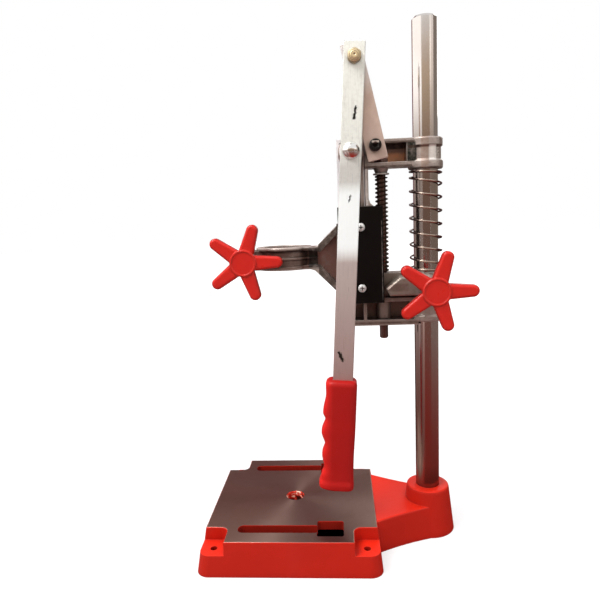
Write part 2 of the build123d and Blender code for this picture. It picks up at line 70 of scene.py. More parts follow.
ahead = Vector((-math.cos(camera_pitch) * math.cos(camera_yaw),
                -math.cos(camera_pitch) * math.sin(camera_yaw),
                -math.sin(camera_pitch)))
level = Vector((-math.sin(camera_yaw), math.cos(camera_yaw), 0))
above = level.cross(ahead)
right = math.cos(camera_roll) * level + math.sin(camera_roll) * above
up = -math.sin(camera_roll) * level + math.cos(camera_roll) * above

camera_data = bpy.data.cameras.new("camera")
camera_data.sensor_width = 36
camera_data.lens = focal_pixels / picture_pixels * camera_data.sensor_width
camera_data.clip_start = 0.02
camera = bpy.data.objects.new("camera", camera_data)
scene.collection.objects.link(camera)
turn = Matrix((right, up, -ahead)).transposed().to_4x4()
camera.matrix_world = Matrix.Translation(camera_place) @ turn
scene.camera = camera
print("lens", round(camera_data.lens, 2), "mm")

# %% [markdown]
# ## Node helpers
# A material is a small program made of nodes. These helpers add a node, set its inputs and wire it up, and
# they name the sums that come back often, so that each finish below reads as a list of what it is made of.

# %% Helper: add a node
def add(tree, kind, inputs=None, **settings):
    """Adds a node. Inputs are values or the sockets they come from."""
    node = tree.nodes.new(kind)
    for key, value in settings.items():
        setattr(node, key, value)
    for key, value in (inputs or {}).items():
        if isinstance(value, bpy.types.NodeSocket):
            tree.links.new(value, node.inputs[key])
        else:
            node.inputs[key].default_value = value
    return node


print("nodes can be added")

# %% Helpers: sums
def math_node(tree, operation, a, b=0.0, clamp=False):
    return add(tree, "ShaderNodeMath", {0: a, 1: b}, operation=operation, use_clamp=clamp).outputs[0]


def times(tree, a, b, clamp=False):
    return math_node(tree, "MULTIPLY", a, b, clamp)


def one_minus(tree, value):
    return math_node(tree, "SUBTRACT", 1.0, value)


def remap(tree, value, low, high, to_low=0.0, to_high=1.0):
    """Turns the range from low to high into the range from to_low to to_high, and stops at its ends."""
    ranges = {"Value": value, "From Min": low, "From Max": high, "To Min": to_low, "To Max": to_high}
    return add(tree, "ShaderNodeMapRange", ranges).outputs[0]


def vector_node(tree, operation, a, b=(0, 0, 0)):
    """A sum on vectors. Lengths, distances and dot products come out as plain values."""
    node = add(tree, "ShaderNodeVectorMath", {0: a, 1: b}, operation=operation)
    plain_value = operation in ("LENGTH", "DISTANCE", "DOT_PRODUCT")
    return node.outputs["Value"] if plain_value else node.outputs[0]


def scaled(tree, vector, factor):
    return add(tree, "ShaderNodeVectorMath", {0: vector, "Scale": factor}, operation="SCALE").outputs[0]


print("sums ready")

# %% Helpers: places, directions and noise
def object_place(tree):
    """Where a point lies on its own piece. It moves with the piece, so a mark stays put at every pose."""
    return add(tree, "ShaderNodeTexCoord").outputs["Object"]


def axes(tree, vector):
    """The three parts of a vector, by the name of the axis."""
    return add(tree, "ShaderNodeSeparateXYZ", {0: vector}).outputs


def facing_axes(tree):
    """Which way the surface faces."""
    return axes(tree, add(tree, "ShaderNodeNewGeometry").outputs["Normal"])


def noise_node(tree, place, scale, detail, roughness=0.5, distortion=0.0):
    """Cloudy noise. Its first output is a value and its second one a colour."""
    return add(tree, "ShaderNodeTexNoise", {"Vector": place, "Scale": scale, "Detail": detail,
                                            "Roughness": roughness, "Distortion": distortion})


def noise(tree, *settings):
    """Only the value of a noise, with the settings of noise_node."""
    return noise_node(tree, *settings).outputs[0]


print("places and noise ready")

# %% Helper: blend two colours
def blend_color(tree, factor, a, b):
    """Colour a where the factor is 0, b where it is 1. Each is a value or a socket."""
    node = add(tree, "ShaderNodeMix", data_type="RGBA", blend_type="MIX")
    for socket, value in ((node.inputs[0], factor), (node.inputs[6], a), (node.inputs[7], b)):
        if isinstance(value, bpy.types.NodeSocket):
            tree.links.new(value, socket)
        elif socket.type == "RGBA":
            socket.default_value = (*value, 1)
        else:
            socket.default_value = value
    return node.outputs[2]


def toned(color, share):
    """The same colour, darker below a share of 1 and brighter above it."""
    return tuple(share * part for part in color)


print("colours can be blended")

# %% Helpers: node groups
def new_group(name, inputs, outputs):
    """A shader node group with named sockets, and its input and output nodes."""
    tree = bpy.data.node_groups.new(name, "ShaderNodeTree")
    for socket_name, value in inputs.items():
        socket = tree.interface.new_socket(socket_name, in_out="INPUT", socket_type="NodeSocketFloat")
        socket.default_value = value
    for socket_name, kind in outputs.items():
        tree.interface.new_socket(socket_name, in_out="OUTPUT", socket_type="NodeSocket" + kind)
    return tree, tree.nodes.new("NodeGroupInput"), tree.nodes.new("NodeGroupOutput")


def use_group(tree, group, **inputs):
    """Places a group. An input called Across x is given as across_x."""
    values = {name.replace("_", " ").capitalize(): value for name, value in inputs.items()}
    return add(tree, "ShaderNodeGroup", values, node_tree=group)


print("groups can be built")

# %% [markdown]
# ## Shared effects
# Handled metal and paint share a few effects: patches that differ a little in tone, fine grain that runs
# one way, the pitted skin of a casting, corners rubbed bright, and shade and dirt painted into the hollows.
# Each could be copied into every material. As a node group it is built once and placed in each with its own
# values.

# %% Effect: patches of tone
def build_patches():
    tree, start, end = new_group("patches", {"Scale": 30.0, "Contrast": 0.5}, {"Value": "Float"})
    coarse = noise(tree, object_place(tree), start.outputs["Scale"], 5.0, 0.6)
    spread = times(tree, math_node(tree, "SUBTRACT", coarse, 0.5), start.outputs["Contrast"])
    tree.links.new(math_node(tree, "ADD", spread, 0.5, clamp=True), end.inputs["Value"])
    return tree


patches = build_patches()
print("built", patches.name)

# %% Effect: grain that runs one way
def build_grain():
    """Noise that is finest along the axes with large amounts, so it runs along the one with the least."""
    tree, start, end = new_group("grain", {"Across x": 900.0, "Across y": 900.0, "Across z": 20.0},
                                 {"Value": "Float"})
    amounts = {axis: start.outputs["Across " + axis.lower()] for axis in "XYZ"}
    scales = add(tree, "ShaderNodeCombineXYZ", amounts).outputs[0]
    squeezed = vector_node(tree, "MULTIPLY", object_place(tree), scales)
    tree.links.new(noise(tree, squeezed, 1.0, 4.0, 0.65), end.inputs["Value"])
    return tree


grain = build_grain()
print("built", grain.name)

# %% Effect: cast skin
def build_cast_skin():
    """The height of a skin with fine grain, broad waves and small pits."""
    tree, start, end = new_group("cast skin", {"Scale": 600.0, "Pits": 0.4}, {"Height": "Float"})
    place = object_place(tree)
    fine = noise(tree, place, start.outputs["Scale"], 3.0)
    broad = noise(tree, place, 70.0, 2.0)
    cells = add(tree, "ShaderNodeTexVoronoi", {"Vector": place, "Scale": 260.0})
    pit = remap(tree, cells.outputs["Distance"], 0.0, 0.22, -1.0, 0.0)
    deep = times(tree, pit, start.outputs["Pits"])
    waves = math_node(tree, "ADD", fine, times(tree, broad, 1.6))
    tree.links.new(math_node(tree, "ADD", waves, deep), end.inputs["Height"])
    return tree


cast_skin = build_cast_skin()
print("built", cast_skin.name)

# %% Effect: rubbed corners
def build_rubbed_corners():
    """Finds corners by comparing the face's normal with one rounded off by the Bevel node."""
    tree, start, end = new_group("rubbed corners", {"Reach": 0.0008, "Breakup": 0.5},
                                 {"Mask": "Float", "Normal": "Vector"})
    rounded = add(tree, "ShaderNodeBevel", {"Radius": start.outputs["Reach"]}, samples=6).outputs[0]
    flat = add(tree, "ShaderNodeNewGeometry").outputs["Normal"]
    corner = remap(tree, vector_node(tree, "DOT_PRODUCT", rounded, flat), 0.995, 0.86)
    kept = remap(tree, noise(tree, object_place(tree), 160.0, 6.0, 0.7), 0.35, 0.6)
    gap = times(tree, one_minus(tree, kept), start.outputs["Breakup"])
    mask = times(tree, corner, one_minus(tree, gap), clamp=True)
    tree.links.new(mask, end.inputs["Mask"])
    tree.links.new(rounded, end.inputs["Normal"])
    return tree


rubbed_corners = build_rubbed_corners()
print("built", rubbed_corners.name)

# %% Effect: painted shade and dirt in the hollows
def build_hollow_dirt():
    """Finds hollows by how much of the sky is shut out close to the surface, to paint shade and dirt there.
    """
    tree, start, end = new_group("hollow dirt", {"Reach": 0.012, "Strength": 1.0}, {"Mask": "Float"})
    open_sky = add(tree, "ShaderNodeAmbientOcclusion", {"Distance": start.outputs["Reach"]}, samples=6)
    closed = remap(tree, open_sky.outputs["AO"], 0.85, 0.25)
    patchy = remap(tree, noise(tree, object_place(tree), 90.0, 5.0), 0.2, 0.7, 0.55, 1.0)
    uneven = times(tree, closed, patchy)
    mask = times(tree, uneven, start.outputs["Strength"], clamp=True)
    tree.links.new(mask, end.inputs["Mask"])
    return tree


hollow_shade_and_dirt = build_hollow_dirt()
print("built", hollow_shade_and_dirt.name)

# %% [markdown]
# ## Material starter
# Each material starts as one Principled shader. `finish` returns the tree and that shader, so the cells
# below only plug in what is special about the piece. `dress` then puts the material on its CAD node.

# %% Material starter
def finish(name, color, metallic=0.0, roughness=0.4, **extra):
    material = bpy.data.materials.new(name)
    material.use_nodes = True
    material.diffuse_color = (*color, 1)
    tree = material.node_tree
    shader = tree.nodes["Principled BSDF"]
    shader.inputs["Base Color"].default_value = (*color, 1)
    shader.inputs["Metallic"].default_value = metallic
    shader.inputs["Roughness"].default_value = roughness
    for key, value in extra.items():
        shader.inputs[key.replace("_", " ")].default_value = value
    return material, tree, shader


def plug(tree, shader, **sockets):
    for key, value in sockets.items():
        tree.links.new(value, shader.inputs[key.replace("_", " ")])


def bump(tree, height, strength, distance, normal=None):
    inputs = {"Height": height, "Strength": strength, "Distance": distance}
    if normal is not None:
        inputs["Normal"] = normal
    return add(tree, "ShaderNodeBump", inputs).outputs[0]


def dress(node_name, material):
    """Puts one material on a CAD node and shades its curved faces smoothly."""
    piece = nodes[node_name]
    piece.data.materials.clear()
    piece.data.materials.append(material)
    piece.data.polygons.foreach_set("use_smooth", [True] * len(piece.data.polygons))


print("starter ready")

# %% [markdown]
# ## Base: red enamel and a turned iron table
# The base is cast iron in red enamel. Only the table top was faced on a lathe, so it is bare iron. The top
# could have a material of its own, but its faces would first have to be picked out. One material does both
# here: a mask picks what points up at table height.

# %% Base: where the iron is bare
table_from, table_to = 0.0346, 0.0352

base_finish, tree, shader = finish("red enamel and turned iron", (0.57, 0.019, 0.009), Anisotropic=0.80,
                                   Coat_Roughness=0.14, Specular_IOR_Level=0.15)
place = object_place(tree)
split = axes(tree, place)
facing = facing_axes(tree)
high_enough = math_node(tree, "GREATER_THAN", split["Z"], table_from)
low_enough = math_node(tree, "LESS_THAN", split["Z"], table_to)
turned = times(tree, high_enough, low_enough)
turned = times(tree, turned, remap(tree, facing["Z"], 0.75, 0.9))
print("iron is bare from", table_from, "to", table_to)

# %% [markdown]
# The lathe left fine rings round the drill hole. They are noise that reads only the distance from the
# hole's axis. The shader's anisotropy follows them and stretches each highlight into a fan. Rings cut as a
# mesh would take far too many faces. Old stains make the iron uneven, and the hole has a dark ragged edge.

# %% Base: turned iron
rings_per_metre = 2600.0
hole_edge = 0.0128

flat_place = vector_node(tree, "MULTIPLY", place, (1, 1, 0))
radius = vector_node(tree, "LENGTH", flat_place)
ring_place = add(tree, "ShaderNodeCombineXYZ", {"X": times(tree, radius, rings_per_metre)}).outputs[0]
rings = noise(tree, ring_place, 1.0, 6.0, 0.75)
stain = noise(tree, place, 14.0, 8.0, 0.62, 0.6)
iron = blend_color(tree, remap(tree, stain, 0.35, 0.7), (0.27, 0.18, 0.145), (0.175, 0.108, 0.088))
iron = blend_color(tree, times(tree, rings, 0.38), iron, (0.47, 0.37, 0.32))
chips = noise(tree, place, 190.0, 2.0)
ragged = math_node(tree, "ADD", radius, times(tree, chips, 0.0060))
iron = blend_color(tree, remap(tree, ragged, hole_edge + 0.0006, hole_edge), iron, (0.05, 0.022, 0.016))
tangent = vector_node(tree, "NORMALIZE", flat_place)
print("turned iron mixed,", round(1000 / rings_per_metre, 2), "mm a ring")

# %% [markdown]
# The enamel is painted darker, as shade and dirt, in the hollows and on the walls, and painted lighter
# where it faces up, as light from above. Little light reaches the slots, so their walls are painted darker
# too, as shade.
# Inside the hole the paint is chipped down to the pale metal.

# %% Base: red enamel
slot_inner, slot_outer, slot_half_length, slot_fade = 0.0530, 0.0815, 0.0548, 0.0003

tone = use_group(tree, patches, scale=28.0, contrast=0.9).outputs["Value"]
enamel = blend_color(tree, tone, (0.56, 0.018, 0.008), (0.45, 0.013, 0.006))
# Painted light: faces that point up are painted lighter
painted_top_light = remap(tree, facing["Z"], 0.5, 0.9, 0.0, 0.6)
enamel = blend_color(tree, painted_top_light, enamel, (0.80, 0.022, 0.006))
# Painted shade and dirt in the hollows
shade_and_dirt = use_group(tree, hollow_shade_and_dirt, reach=0.010, strength=0.5).outputs["Mask"]
enamel = blend_color(tree, shade_and_dirt, enamel, (0.13, 0.004, 0.004))
# Painted shade on the walls of the slots
aside = math_node(tree, "ABSOLUTE", split["X"])
along = math_node(tree, "ABSOLUTE", split["Y"])
past_inner = remap(tree, aside, slot_inner, slot_inner + slot_fade)
before_outer = remap(tree, aside, slot_outer, slot_outer - slot_fade)
in_slot = times(tree, past_inner, before_outer)
in_slot = times(tree, in_slot, remap(tree, along, slot_half_length, slot_half_length - slot_fade))
in_slot = times(tree, in_slot, remap(tree, split["Z"], 0.0347, 0.0335))
enamel = blend_color(tree, times(tree, in_slot, 0.75), enamel, (0.16, 0.012, 0.007))
print("dark walls in a strip", round(1000 * (slot_outer - slot_inner), 1), "mm wide at each slot")

# %% Base: torn hole and rubbed edges
torn = blend_color(tree, remap(tree, chips, 0.42, 0.50), (0.035, 0.008, 0.005), (0.66, 0.030, 0.014))
torn = blend_color(tree, remap(tree, chips, 0.57, 0.62), torn, (0.95, 0.66, 0.50))
in_hole = remap(tree, radius, 0.0102, 0.0096)
enamel = blend_color(tree, in_hole, enamel, torn)
corners = use_group(tree, rubbed_corners, reach=0.0007, breakup=0.9)
rub = times(tree, corners.outputs["Mask"], 0.35)
enamel = blend_color(tree, rub, enamel, (0.80, 0.06, 0.035))
skin = use_group(tree, cast_skin, scale=420.0, pits=0.25).outputs["Height"]
print("enamel mixed")

# %% Base: both on one piece
enamel_normal = bump(tree, skin, 0.22, 0.0004, corners.outputs["Normal"])
iron_normal = bump(tree, rings, 0.08, 0.0001)
normal = add(tree, "ShaderNodeMix", {0: turned, 4: enamel_normal, 5: iron_normal}, data_type="VECTOR")
rough_enamel = remap(tree, tone, 0.2, 0.8, 0.34, 0.46)
rough_iron = remap(tree, stain, 0.3, 0.7, 0.26, 0.38)
rough = add(tree, "ShaderNodeMix", {0: turned, 2: rough_enamel, 3: rough_iron}, data_type="FLOAT")
coat = times(tree, one_minus(tree, turned), 0.05)
plug(tree, shader, Base_Color=blend_color(tree, turned, enamel, iron), Metallic=turned,
     Roughness=rough.outputs[0], Coat_Weight=coat, Normal=normal.outputs[1], Tangent=tangent)
dress("base_casting", base_finish)
print("base dressed")

# %% [markdown]
# ## Column: polished bar
# A polished bar is nearly a mirror: what you see is the room, which the cards at the end of this lesson
# stand for. The bar's own part is small. It has a slightly warm tint and faint polishing lines. Below the
# carriage a darker reflection is painted into it, and toward the base it grows rougher, with a painted red
# reflection of the base and painted shade at the foot. Each is a tint that starts at a height.

# %% Column material
dark_reflection_from, dark_reflection_to = 0.392, 0.380
foot_from, foot_to = 0.075, 0.052

polished_bar, tree, shader = finish("polished bar", (0.66, 0.62, 0.60), 1.0, 0.10)
lines = use_group(tree, grain, across_x=700.0, across_y=700.0, across_z=14.0).outputs["Value"]
handled = use_group(tree, patches, scale=18.0, contrast=1.4).outputs["Value"]
tint = blend_color(tree, handled, (0.70, 0.67, 0.65), (0.56, 0.51, 0.48))
height = axes(tree, object_place(tree))["Z"]
# Painted reflection: darker below the carriage
tint = blend_color(tree, remap(tree, height, dark_reflection_from, dark_reflection_to, 0.0, 0.36), tint, (0.26, 0.20, 0.17))
low_part = remap(tree, height, 0.25, 0.06)
# Painted reflection of the red base, lower down
tint = blend_color(tree, times(tree, low_part, 0.45), tint, (0.34, 0.16, 0.13))
foot = remap(tree, height, foot_from, foot_to)
# Painted shade at the foot
tint = blend_color(tree, times(tree, foot, 0.65), tint, (0.11, 0.075, 0.055))
roughness = math_node(tree, "ADD", remap(tree, handled, 0.2, 0.8, 0.07, 0.16), times(tree, lines, 0.05))
roughness = math_node(tree, "ADD", roughness, times(tree, low_part, 0.10))
plug(tree, shader, Base_Color=tint, Roughness=roughness, Normal=bump(tree, lines, 0.05, 0.0001))
dress("column_bar", polished_bar)
print("column dressed")

# %% [markdown]
# ## Castings: die-cast alloy
# Bracket and carriage are die-cast in a grey alloy and left as they come from the die: a fine pitted skin,
# soft corners, shade and dirt painted into the hollows and bright metal where edges rub. Brown grime, an
# orange patch, and painted shade, highlights and reflections also lie in certain places. They could be
# painted on an image, but that needs an unwrapped mesh. A box whose edges fade marks a place as well, in a
# few plain numbers.

# %% Helpers: stains and painted light in boxes
def inside_box(tree, low, high, edge):
    """1 inside a box given by two corners, with edges that fade over a small distance."""
    parts = axes(tree, object_place(tree))
    mask = None
    for axis, a, b in zip("XYZ", low, high):
        enters = remap(tree, parts[axis], a - edge, a)
        leaves = remap(tree, parts[axis], b, b + edge, 1.0, 0.0)
        side = times(tree, enters, leaves)
        mask = side if mask is None else times(tree, mask, side)
    return mask


def with_stains_and_painted_light(tree, color, stains_and_painted_light, share=1.0):
    """Lays stains and painted light and shade over a colour. Each has two corners, a fading edge, a colour
    and a strength.
    """
    for low, high, edge, box_color, strength in stains_and_painted_light:
        there = times(tree, inside_box(tree, low, high, edge), share)
        color = blend_color(tree, times(tree, there, strength), color, box_color)
    return color


print("stain helpers ready")

# %% [markdown]
# One face of the bracket's upright rail, the one the carriage's shoe slides on, is painted near-white above
# a height and made less metallic. Stains and painted shade are broken up by noise, since an even one would
# look like a sticker. Some lie only on faces toward the lever side, because the same box also holds faces
# that stay clean.

# %% Die-cast builder
def guide_mask(tree, place, facing, share):
    """1 on the upper part of the rail's face that looks toward the lever."""
    parts = axes(tree, place)
    mask = times(tree, remap(tree, facing["X"], 0.85, 0.95), share)
    mask = times(tree, mask, remap(tree, parts["Z"], 0.330, 0.335))
    return times(tree, mask, remap(tree, parts["Y"], 0.0640, 0.0630))


def make_die_cast(name, bright, dull, stains_and_painted_light, face_stains=(), guide_face=0.0):
    metallic = 0.5
    material, tree, shader = finish(name, bright, metallic, 0.34)
    place = object_place(tree)
    facing = facing_axes(tree)
    tone = use_group(tree, patches, scale=45.0, contrast=1.3).outputs["Value"]
    color = blend_color(tree, tone, bright, dull)
    # Painted shade and dirt in the hollows
    shade_and_dirt = use_group(tree, hollow_shade_and_dirt, reach=0.016, strength=1.0).outputs["Mask"]
    color = blend_color(tree, shade_and_dirt, color, (0.030, 0.019, 0.014))
    specks = remap(tree, noise(tree, place, 480.0, 4.0, 0.7), 0.54, 0.68, 0.0, 0.45)
    color = blend_color(tree, specks, color, (0.10, 0.07, 0.055))
    corners = use_group(tree, rubbed_corners, reach=0.0009, breakup=0.55)
    open_corner = one_minus(tree, times(tree, shade_and_dirt, 2.2, clamp=True))
    rub = times(tree, corners.outputs["Mask"], times(tree, open_corner, 0.8))
    color = blend_color(tree, rub, color, (0.78, 0.73, 0.69))
    broken = remap(tree, noise(tree, place, 150.0, 5.0, 0.6), 0.25, 0.55, 0.45, 1.0)
    color = with_stains_and_painted_light(tree, color, stains_and_painted_light, broken)
    broken_face = times(tree, broken, remap(tree, facing["X"], 0.6, 0.8))
    color = with_stains_and_painted_light(tree, color, face_stains, broken_face)
    guide = guide_mask(tree, place, facing, guide_face)
    color = blend_color(tree, guide, color, (0.95, 0.91, 0.92))
    skin = use_group(tree, cast_skin, scale=520.0, pits=0.7).outputs["Height"]
    plug(tree, shader, Base_Color=color, Roughness=remap(tree, tone, 0.2, 0.8, 0.26, 0.44),
         Metallic=math_node(tree, "SUBTRACT", metallic, times(tree, guide, 0.35)),
         Normal=bump(tree, skin, 0.45, 0.0004, corners.outputs["Normal"]))
    return material


print("die-cast builder ready")

# %% Bracket: stains and finish
# Painted shade, for corners and lines where little light falls
painted_shade = (0.022, 0.017, 0.014)
bracket_stains_and_shade = (
    # The arm's web, brown and partly painted shade under the carriage; painted shade in the corner below
    # it; and the edge of its lower flange
    ((-0.0095, 0.060, 0.2372), (0.0060, 0.132, 0.2570), 0.001, (0.18, 0.110, 0.088), 0.75),
    ((-0.0080, 0.062, 0.2370), (0.0112, 0.137, 0.2380), 0.0004, painted_shade, 0.95),
    ((0.0118, 0.058, 0.2332), (0.0125, 0.137, 0.2350), 0.0006, (0.12, 0.080, 0.060), 0.75),
    # Painted shade under the clamp's boss, and the boss itself
    ((0.0000, 0.110, 0.2606), (0.030, 0.140, 0.2645), 0.0008, painted_shade, 0.9),
    ((0.0055, 0.1035, 0.2640), (0.0310, 0.1320, 0.2862), 0.003, (0.24, 0.21, 0.165), 0.65),
    ((0.0070, 0.1000, 0.2705), (0.0310, 0.1250, 0.2760), 0.0020, (0.13, 0.075, 0.060), 0.60),
)
bracket_alloy = make_die_cast("bracket alloy", (0.50, 0.42, 0.37), (0.30, 0.23, 0.20), bracket_stains_and_shade,
                              guide_face=1.0)
dress("bracket_casting", bracket_alloy)
print("bracket dressed,", len(bracket_stains_and_shade), "stains_and_painted_light")

# %% Carriage: stains and finish
carriage_stains_and_painted_light = (
    # The arm's web: brown, an orange patch low down, painted shade in the upper corner under the flange, a
    # painted highlight on the lower flange's top and painted shade in the gap at the sleeve
    ((-0.0088, 0.088, 0.3970), (0.0040, 0.129, 0.4168), 0.0010, (0.30, 0.18, 0.145), 0.80),
    ((-0.0088, 0.096, 0.3975), (-0.0070, 0.1285, 0.4065), 0.0030, (0.75, 0.37, 0.20), 0.85),
    ((-0.0088, 0.088, 0.4130), (0.0110, 0.130, 0.4172), 0.0012, painted_shade, 0.90),
    ((-0.0085, 0.0950, 0.3972), (0.0110, 0.1280, 0.3982), 0.0003, (0.72, 0.56, 0.40), 0.70),
    ((-0.0090, 0.1290, 0.3985), (0.0125, 0.1372, 0.4162), 0.0012, (0.012, 0.016, 0.011), 1.0),
    # Dark lines along the edges of the arm's two flanges, the lower one painted shade, and a light stripe
    # on the cheek
    ((0.0115, 0.0860, 0.3926), (0.0125, 0.1330, 0.3946), 0.0005, (0.085, 0.055, 0.040), 0.85),
    ((0.0115, 0.0860, 0.4163), (0.0125, 0.1360, 0.4180), 0.0006, (0.070, 0.045, 0.035), 0.85),
    ((0.0110, 0.0866, 0.3560), (0.0230, 0.0882, 0.3920), 0.0005, (0.92, 0.88, 0.85), 0.75),
    # The sleeve: painted shade under its two bands, then painted reflections in upright streaks from left
    # to right
    ((0.0020, 0.1300, 0.4108), (0.0200, 0.1660, 0.4130), 0.0006, (0.060, 0.036, 0.027), 1.0),
    ((0.0020, 0.1300, 0.3897), (0.0200, 0.1660, 0.3915), 0.0006, (0.060, 0.045, 0.030), 0.80),
    ((0.0020, 0.1420, 0.3920), (0.0200, 0.1482, 0.4206), 0.0012, (0.38, 0.24, 0.18), 0.55),
    ((0.0020, 0.1500, 0.3985), (0.0200, 0.1560, 0.4120), 0.0012, (0.95, 0.89, 0.83), 0.90),
    ((-0.0050, 0.1605, 0.3920), (0.0170, 0.1670, 0.4206), 0.0015, (0.16, 0.105, 0.080), 0.60),
    # The collar: painted shade in the hollow where it meets the funnel, a darker wall, and painted shade at
    # its upper edge
    ((-0.0100, 0.0200, 0.2965), (0.0230, 0.0375, 0.3145), 0.003, painted_shade, 0.97),
    ((-0.0320, -0.0320, 0.2955), (0.0320, 0.0260, 0.3144), 0.0008, (0.15, 0.080, 0.060), 0.80),
    ((-0.0320, -0.0320, 0.3115), (0.0320, 0.0300, 0.3142), 0.0010, painted_shade, 0.60),
)
funnel_stains = (
    ((0.0190, 0.0370, 0.2600), (0.0206, 0.0590, 0.3500), 0.0006, (0.060, 0.042, 0.032), 0.85),
    ((0.0060, 0.0360, 0.2600), (0.0085, 0.0590, 0.3500), 0.0008, (0.36, 0.18, 0.15), 0.80),
)
carriage_alloy = make_die_cast("carriage alloy", (0.60, 0.53, 0.48), (0.35, 0.27, 0.235), carriage_stains_and_painted_light,
                               funnel_stains)
dress("carriage_casting", carriage_alloy)
print("carriage dressed,", len(carriage_stains_and_painted_light) + len(funnel_stains), "stains_and_painted_light")

# %% [markdown]
# ## Lever: brushed flat bar
# The lever is a flat bar with fine lines along its length. Its colour is painted bright above and darker
# below, as painted shade. A picture of brushed metal could be wrapped on it. Noise drawn out along the bar
# does the same and stays sharp at any size. The painted stretches are tints that start and end at a height.

# %% Lever: brushed steel
lean = math.radians(3.6)

lever_steel, tree, shader = finish("brushed flat bar", (0.88, 0.87, 0.84), 0.45, 0.36, Anisotropic=0.8,
                                   Specular_IOR_Level=0.2)
place = object_place(tree)
parts = axes(tree, place)
height = parts["Z"]
lines = use_group(tree, grain, across_x=1600.0, across_y=1600.0, across_z=34.0).outputs["Value"]
tone = use_group(tree, patches, scale=32.0, contrast=1.1).outputs["Value"]
color = blend_color(tree, tone, (0.985, 0.99, 0.93), (0.91, 0.91, 0.85))
mottle = use_group(tree, patches, scale=260.0, contrast=1.6).outputs["Value"]
color = blend_color(tree, remap(tree, mottle, 0.45, 0.85, 0.0, 0.30), color, (0.62, 0.60, 0.54))
print("bright bar mixed, leaning", round(math.degrees(lean), 1), "degrees")

# %% Lever: painted shade and painted highlight stretches
# Painted reflection: a darker band near the top
shade = times(tree, remap(tree, height, 0.402, 0.392), remap(tree, height, 0.366, 0.378))
color = blend_color(tree, times(tree, shade, 0.45), color, (0.52, 0.48, 0.46))
# Painted shade: darker toward the bottom
painted_shade_stretches = ((0.320, 0.301, 0.85, (0.55, 0.42, 0.39)), (0.300, 0.19, 0.70, (0.36, 0.20, 0.18)))
for top, bottom, strength, dull in painted_shade_stretches:
    color = blend_color(tree, remap(tree, height, top, bottom, 0.0, strength), color, dull)
streaks = use_group(tree, grain, across_x=900.0, across_y=1500.0, across_z=45.0).outputs["Value"]
color = blend_color(tree, remap(tree, streaks, 0.52, 0.75, 0.0, 0.30), color, (0.30, 0.22, 0.20))
# Painted highlight: a near-white, less metallic stretch across the middle
clean = times(tree, remap(tree, height, 0.378, 0.366), remap(tree, height, 0.302, 0.316))
color = blend_color(tree, times(tree, clean, 0.8), color, (0.985, 0.985, 0.975))
shine = remap(tree, clean, 0.0, 1.0, 0.34, 0.06)
corners = use_group(tree, rubbed_corners, reach=0.0006, breakup=0.4)
# Painted shade along the bar's edges
color = blend_color(tree, times(tree, corners.outputs["Mask"], 0.75), color, (0.16, 0.12, 0.12))
print("worn parts mixed,", len(painted_shade_stretches), "dull stretches")

# %% [markdown]
# The lever's face carries three smears of old grease. A smear is the distance to a short line between two
# points on the face, and noise added to the position makes its edge ragged.

# %% Lever: grease smears
def smear(tree, place, start, end, half_width):
    """1 on a mark along the line between two (y, z) points in millimetres."""
    start = Vector((0, start[0], start[1])) / 1000
    run = Vector((0, end[0], end[1])) / 1000 - start
    offset = vector_node(tree, "SUBTRACT", place, start)
    share = vector_node(tree, "DOT_PRODUCT", offset, run / run.length_squared)
    share = math_node(tree, "ADD", share, 0.0, clamp=True)
    gap = vector_node(tree, "DISTANCE", offset, scaled(tree, run, share))
    return remap(tree, gap, half_width / 1000, half_width / 2000)


smears = (((77.2, 446.0), (75.4, 435.5), 1.5), ((70.3, 365.8), (68.9, 360.2), 1.0),
          ((54.6, 212.5), (58.0, 205.0), 2.1))
lever_face = 0.0492
ragged_by = 0.0052

fray = noise_node(tree, place, 520.0, 4.0, 0.7).outputs[1]
shift = scaled(tree, vector_node(tree, "SUBTRACT", fray, (0.5, 0.5, 0.5)), ragged_by)
frayed = vector_node(tree, "ADD", place, shift)
frayed = vector_node(tree, "MULTIPLY", frayed, (0, 1, 1))
grease = None
for start, end, half_width in smears:
    mark = smear(tree, frayed, start, end, half_width)
    grease = mark if grease is None else math_node(tree, "MAXIMUM", grease, mark)
grease = times(tree, grease, math_node(tree, "GREATER_THAN", parts["X"], lever_face))
color = blend_color(tree, grease, color, (0.014, 0.009, 0.006))
print(len(smears), "smears")

# %% Lever: put together
across = add(tree, "ShaderNodeCombineXYZ", {"X": 0.0, "Y": math.cos(lean), "Z": -math.sin(lean)}).outputs[0]
rough = math_node(tree, "ADD", remap(tree, lines, 0.3, 0.7, 0.26, 0.42), times(tree, grease, 0.2))
plug(tree, shader, Base_Color=color, Roughness=rough, Tangent=across,
     Metallic=times(tree, shine, one_minus(tree, grease)),
     Normal=bump(tree, lines, 0.12, 0.0001, corners.outputs["Normal"]))
dress("lever_bar", lever_steel)
print("lever dressed")

# %% [markdown]
# ## Link, rod and fasteners: small steel
# The rest of the steel differs in colour more than in make: a rolled bar, a ground rod, turned and plated
# bolts, black oxide. Each could have a material from scratch. One builder covers them with a base colour, a
# duller colour, how rough it is and which way its lines run, so they stay of one family.

# %% Helper: turned rings
def turned_rings(tree, middle, rings):
    """Dark rings round an axis along X through middle. A ring is a radius and a half width in mm."""
    offset = vector_node(tree, "SUBTRACT", object_place(tree), (0, middle[0], middle[1]))
    reach = vector_node(tree, "LENGTH", vector_node(tree, "MULTIPLY", offset, (0, 1, 1)))
    mask = None
    for radius, half_width in rings:
        gap = math_node(tree, "ABSOLUTE", math_node(tree, "SUBTRACT", reach, radius / 1000))
        ring = remap(tree, gap, half_width / 1000, half_width / 2500)
        mask = ring if mask is None else math_node(tree, "MAXIMUM", mask, ring)
    return mask


print("rings ready")

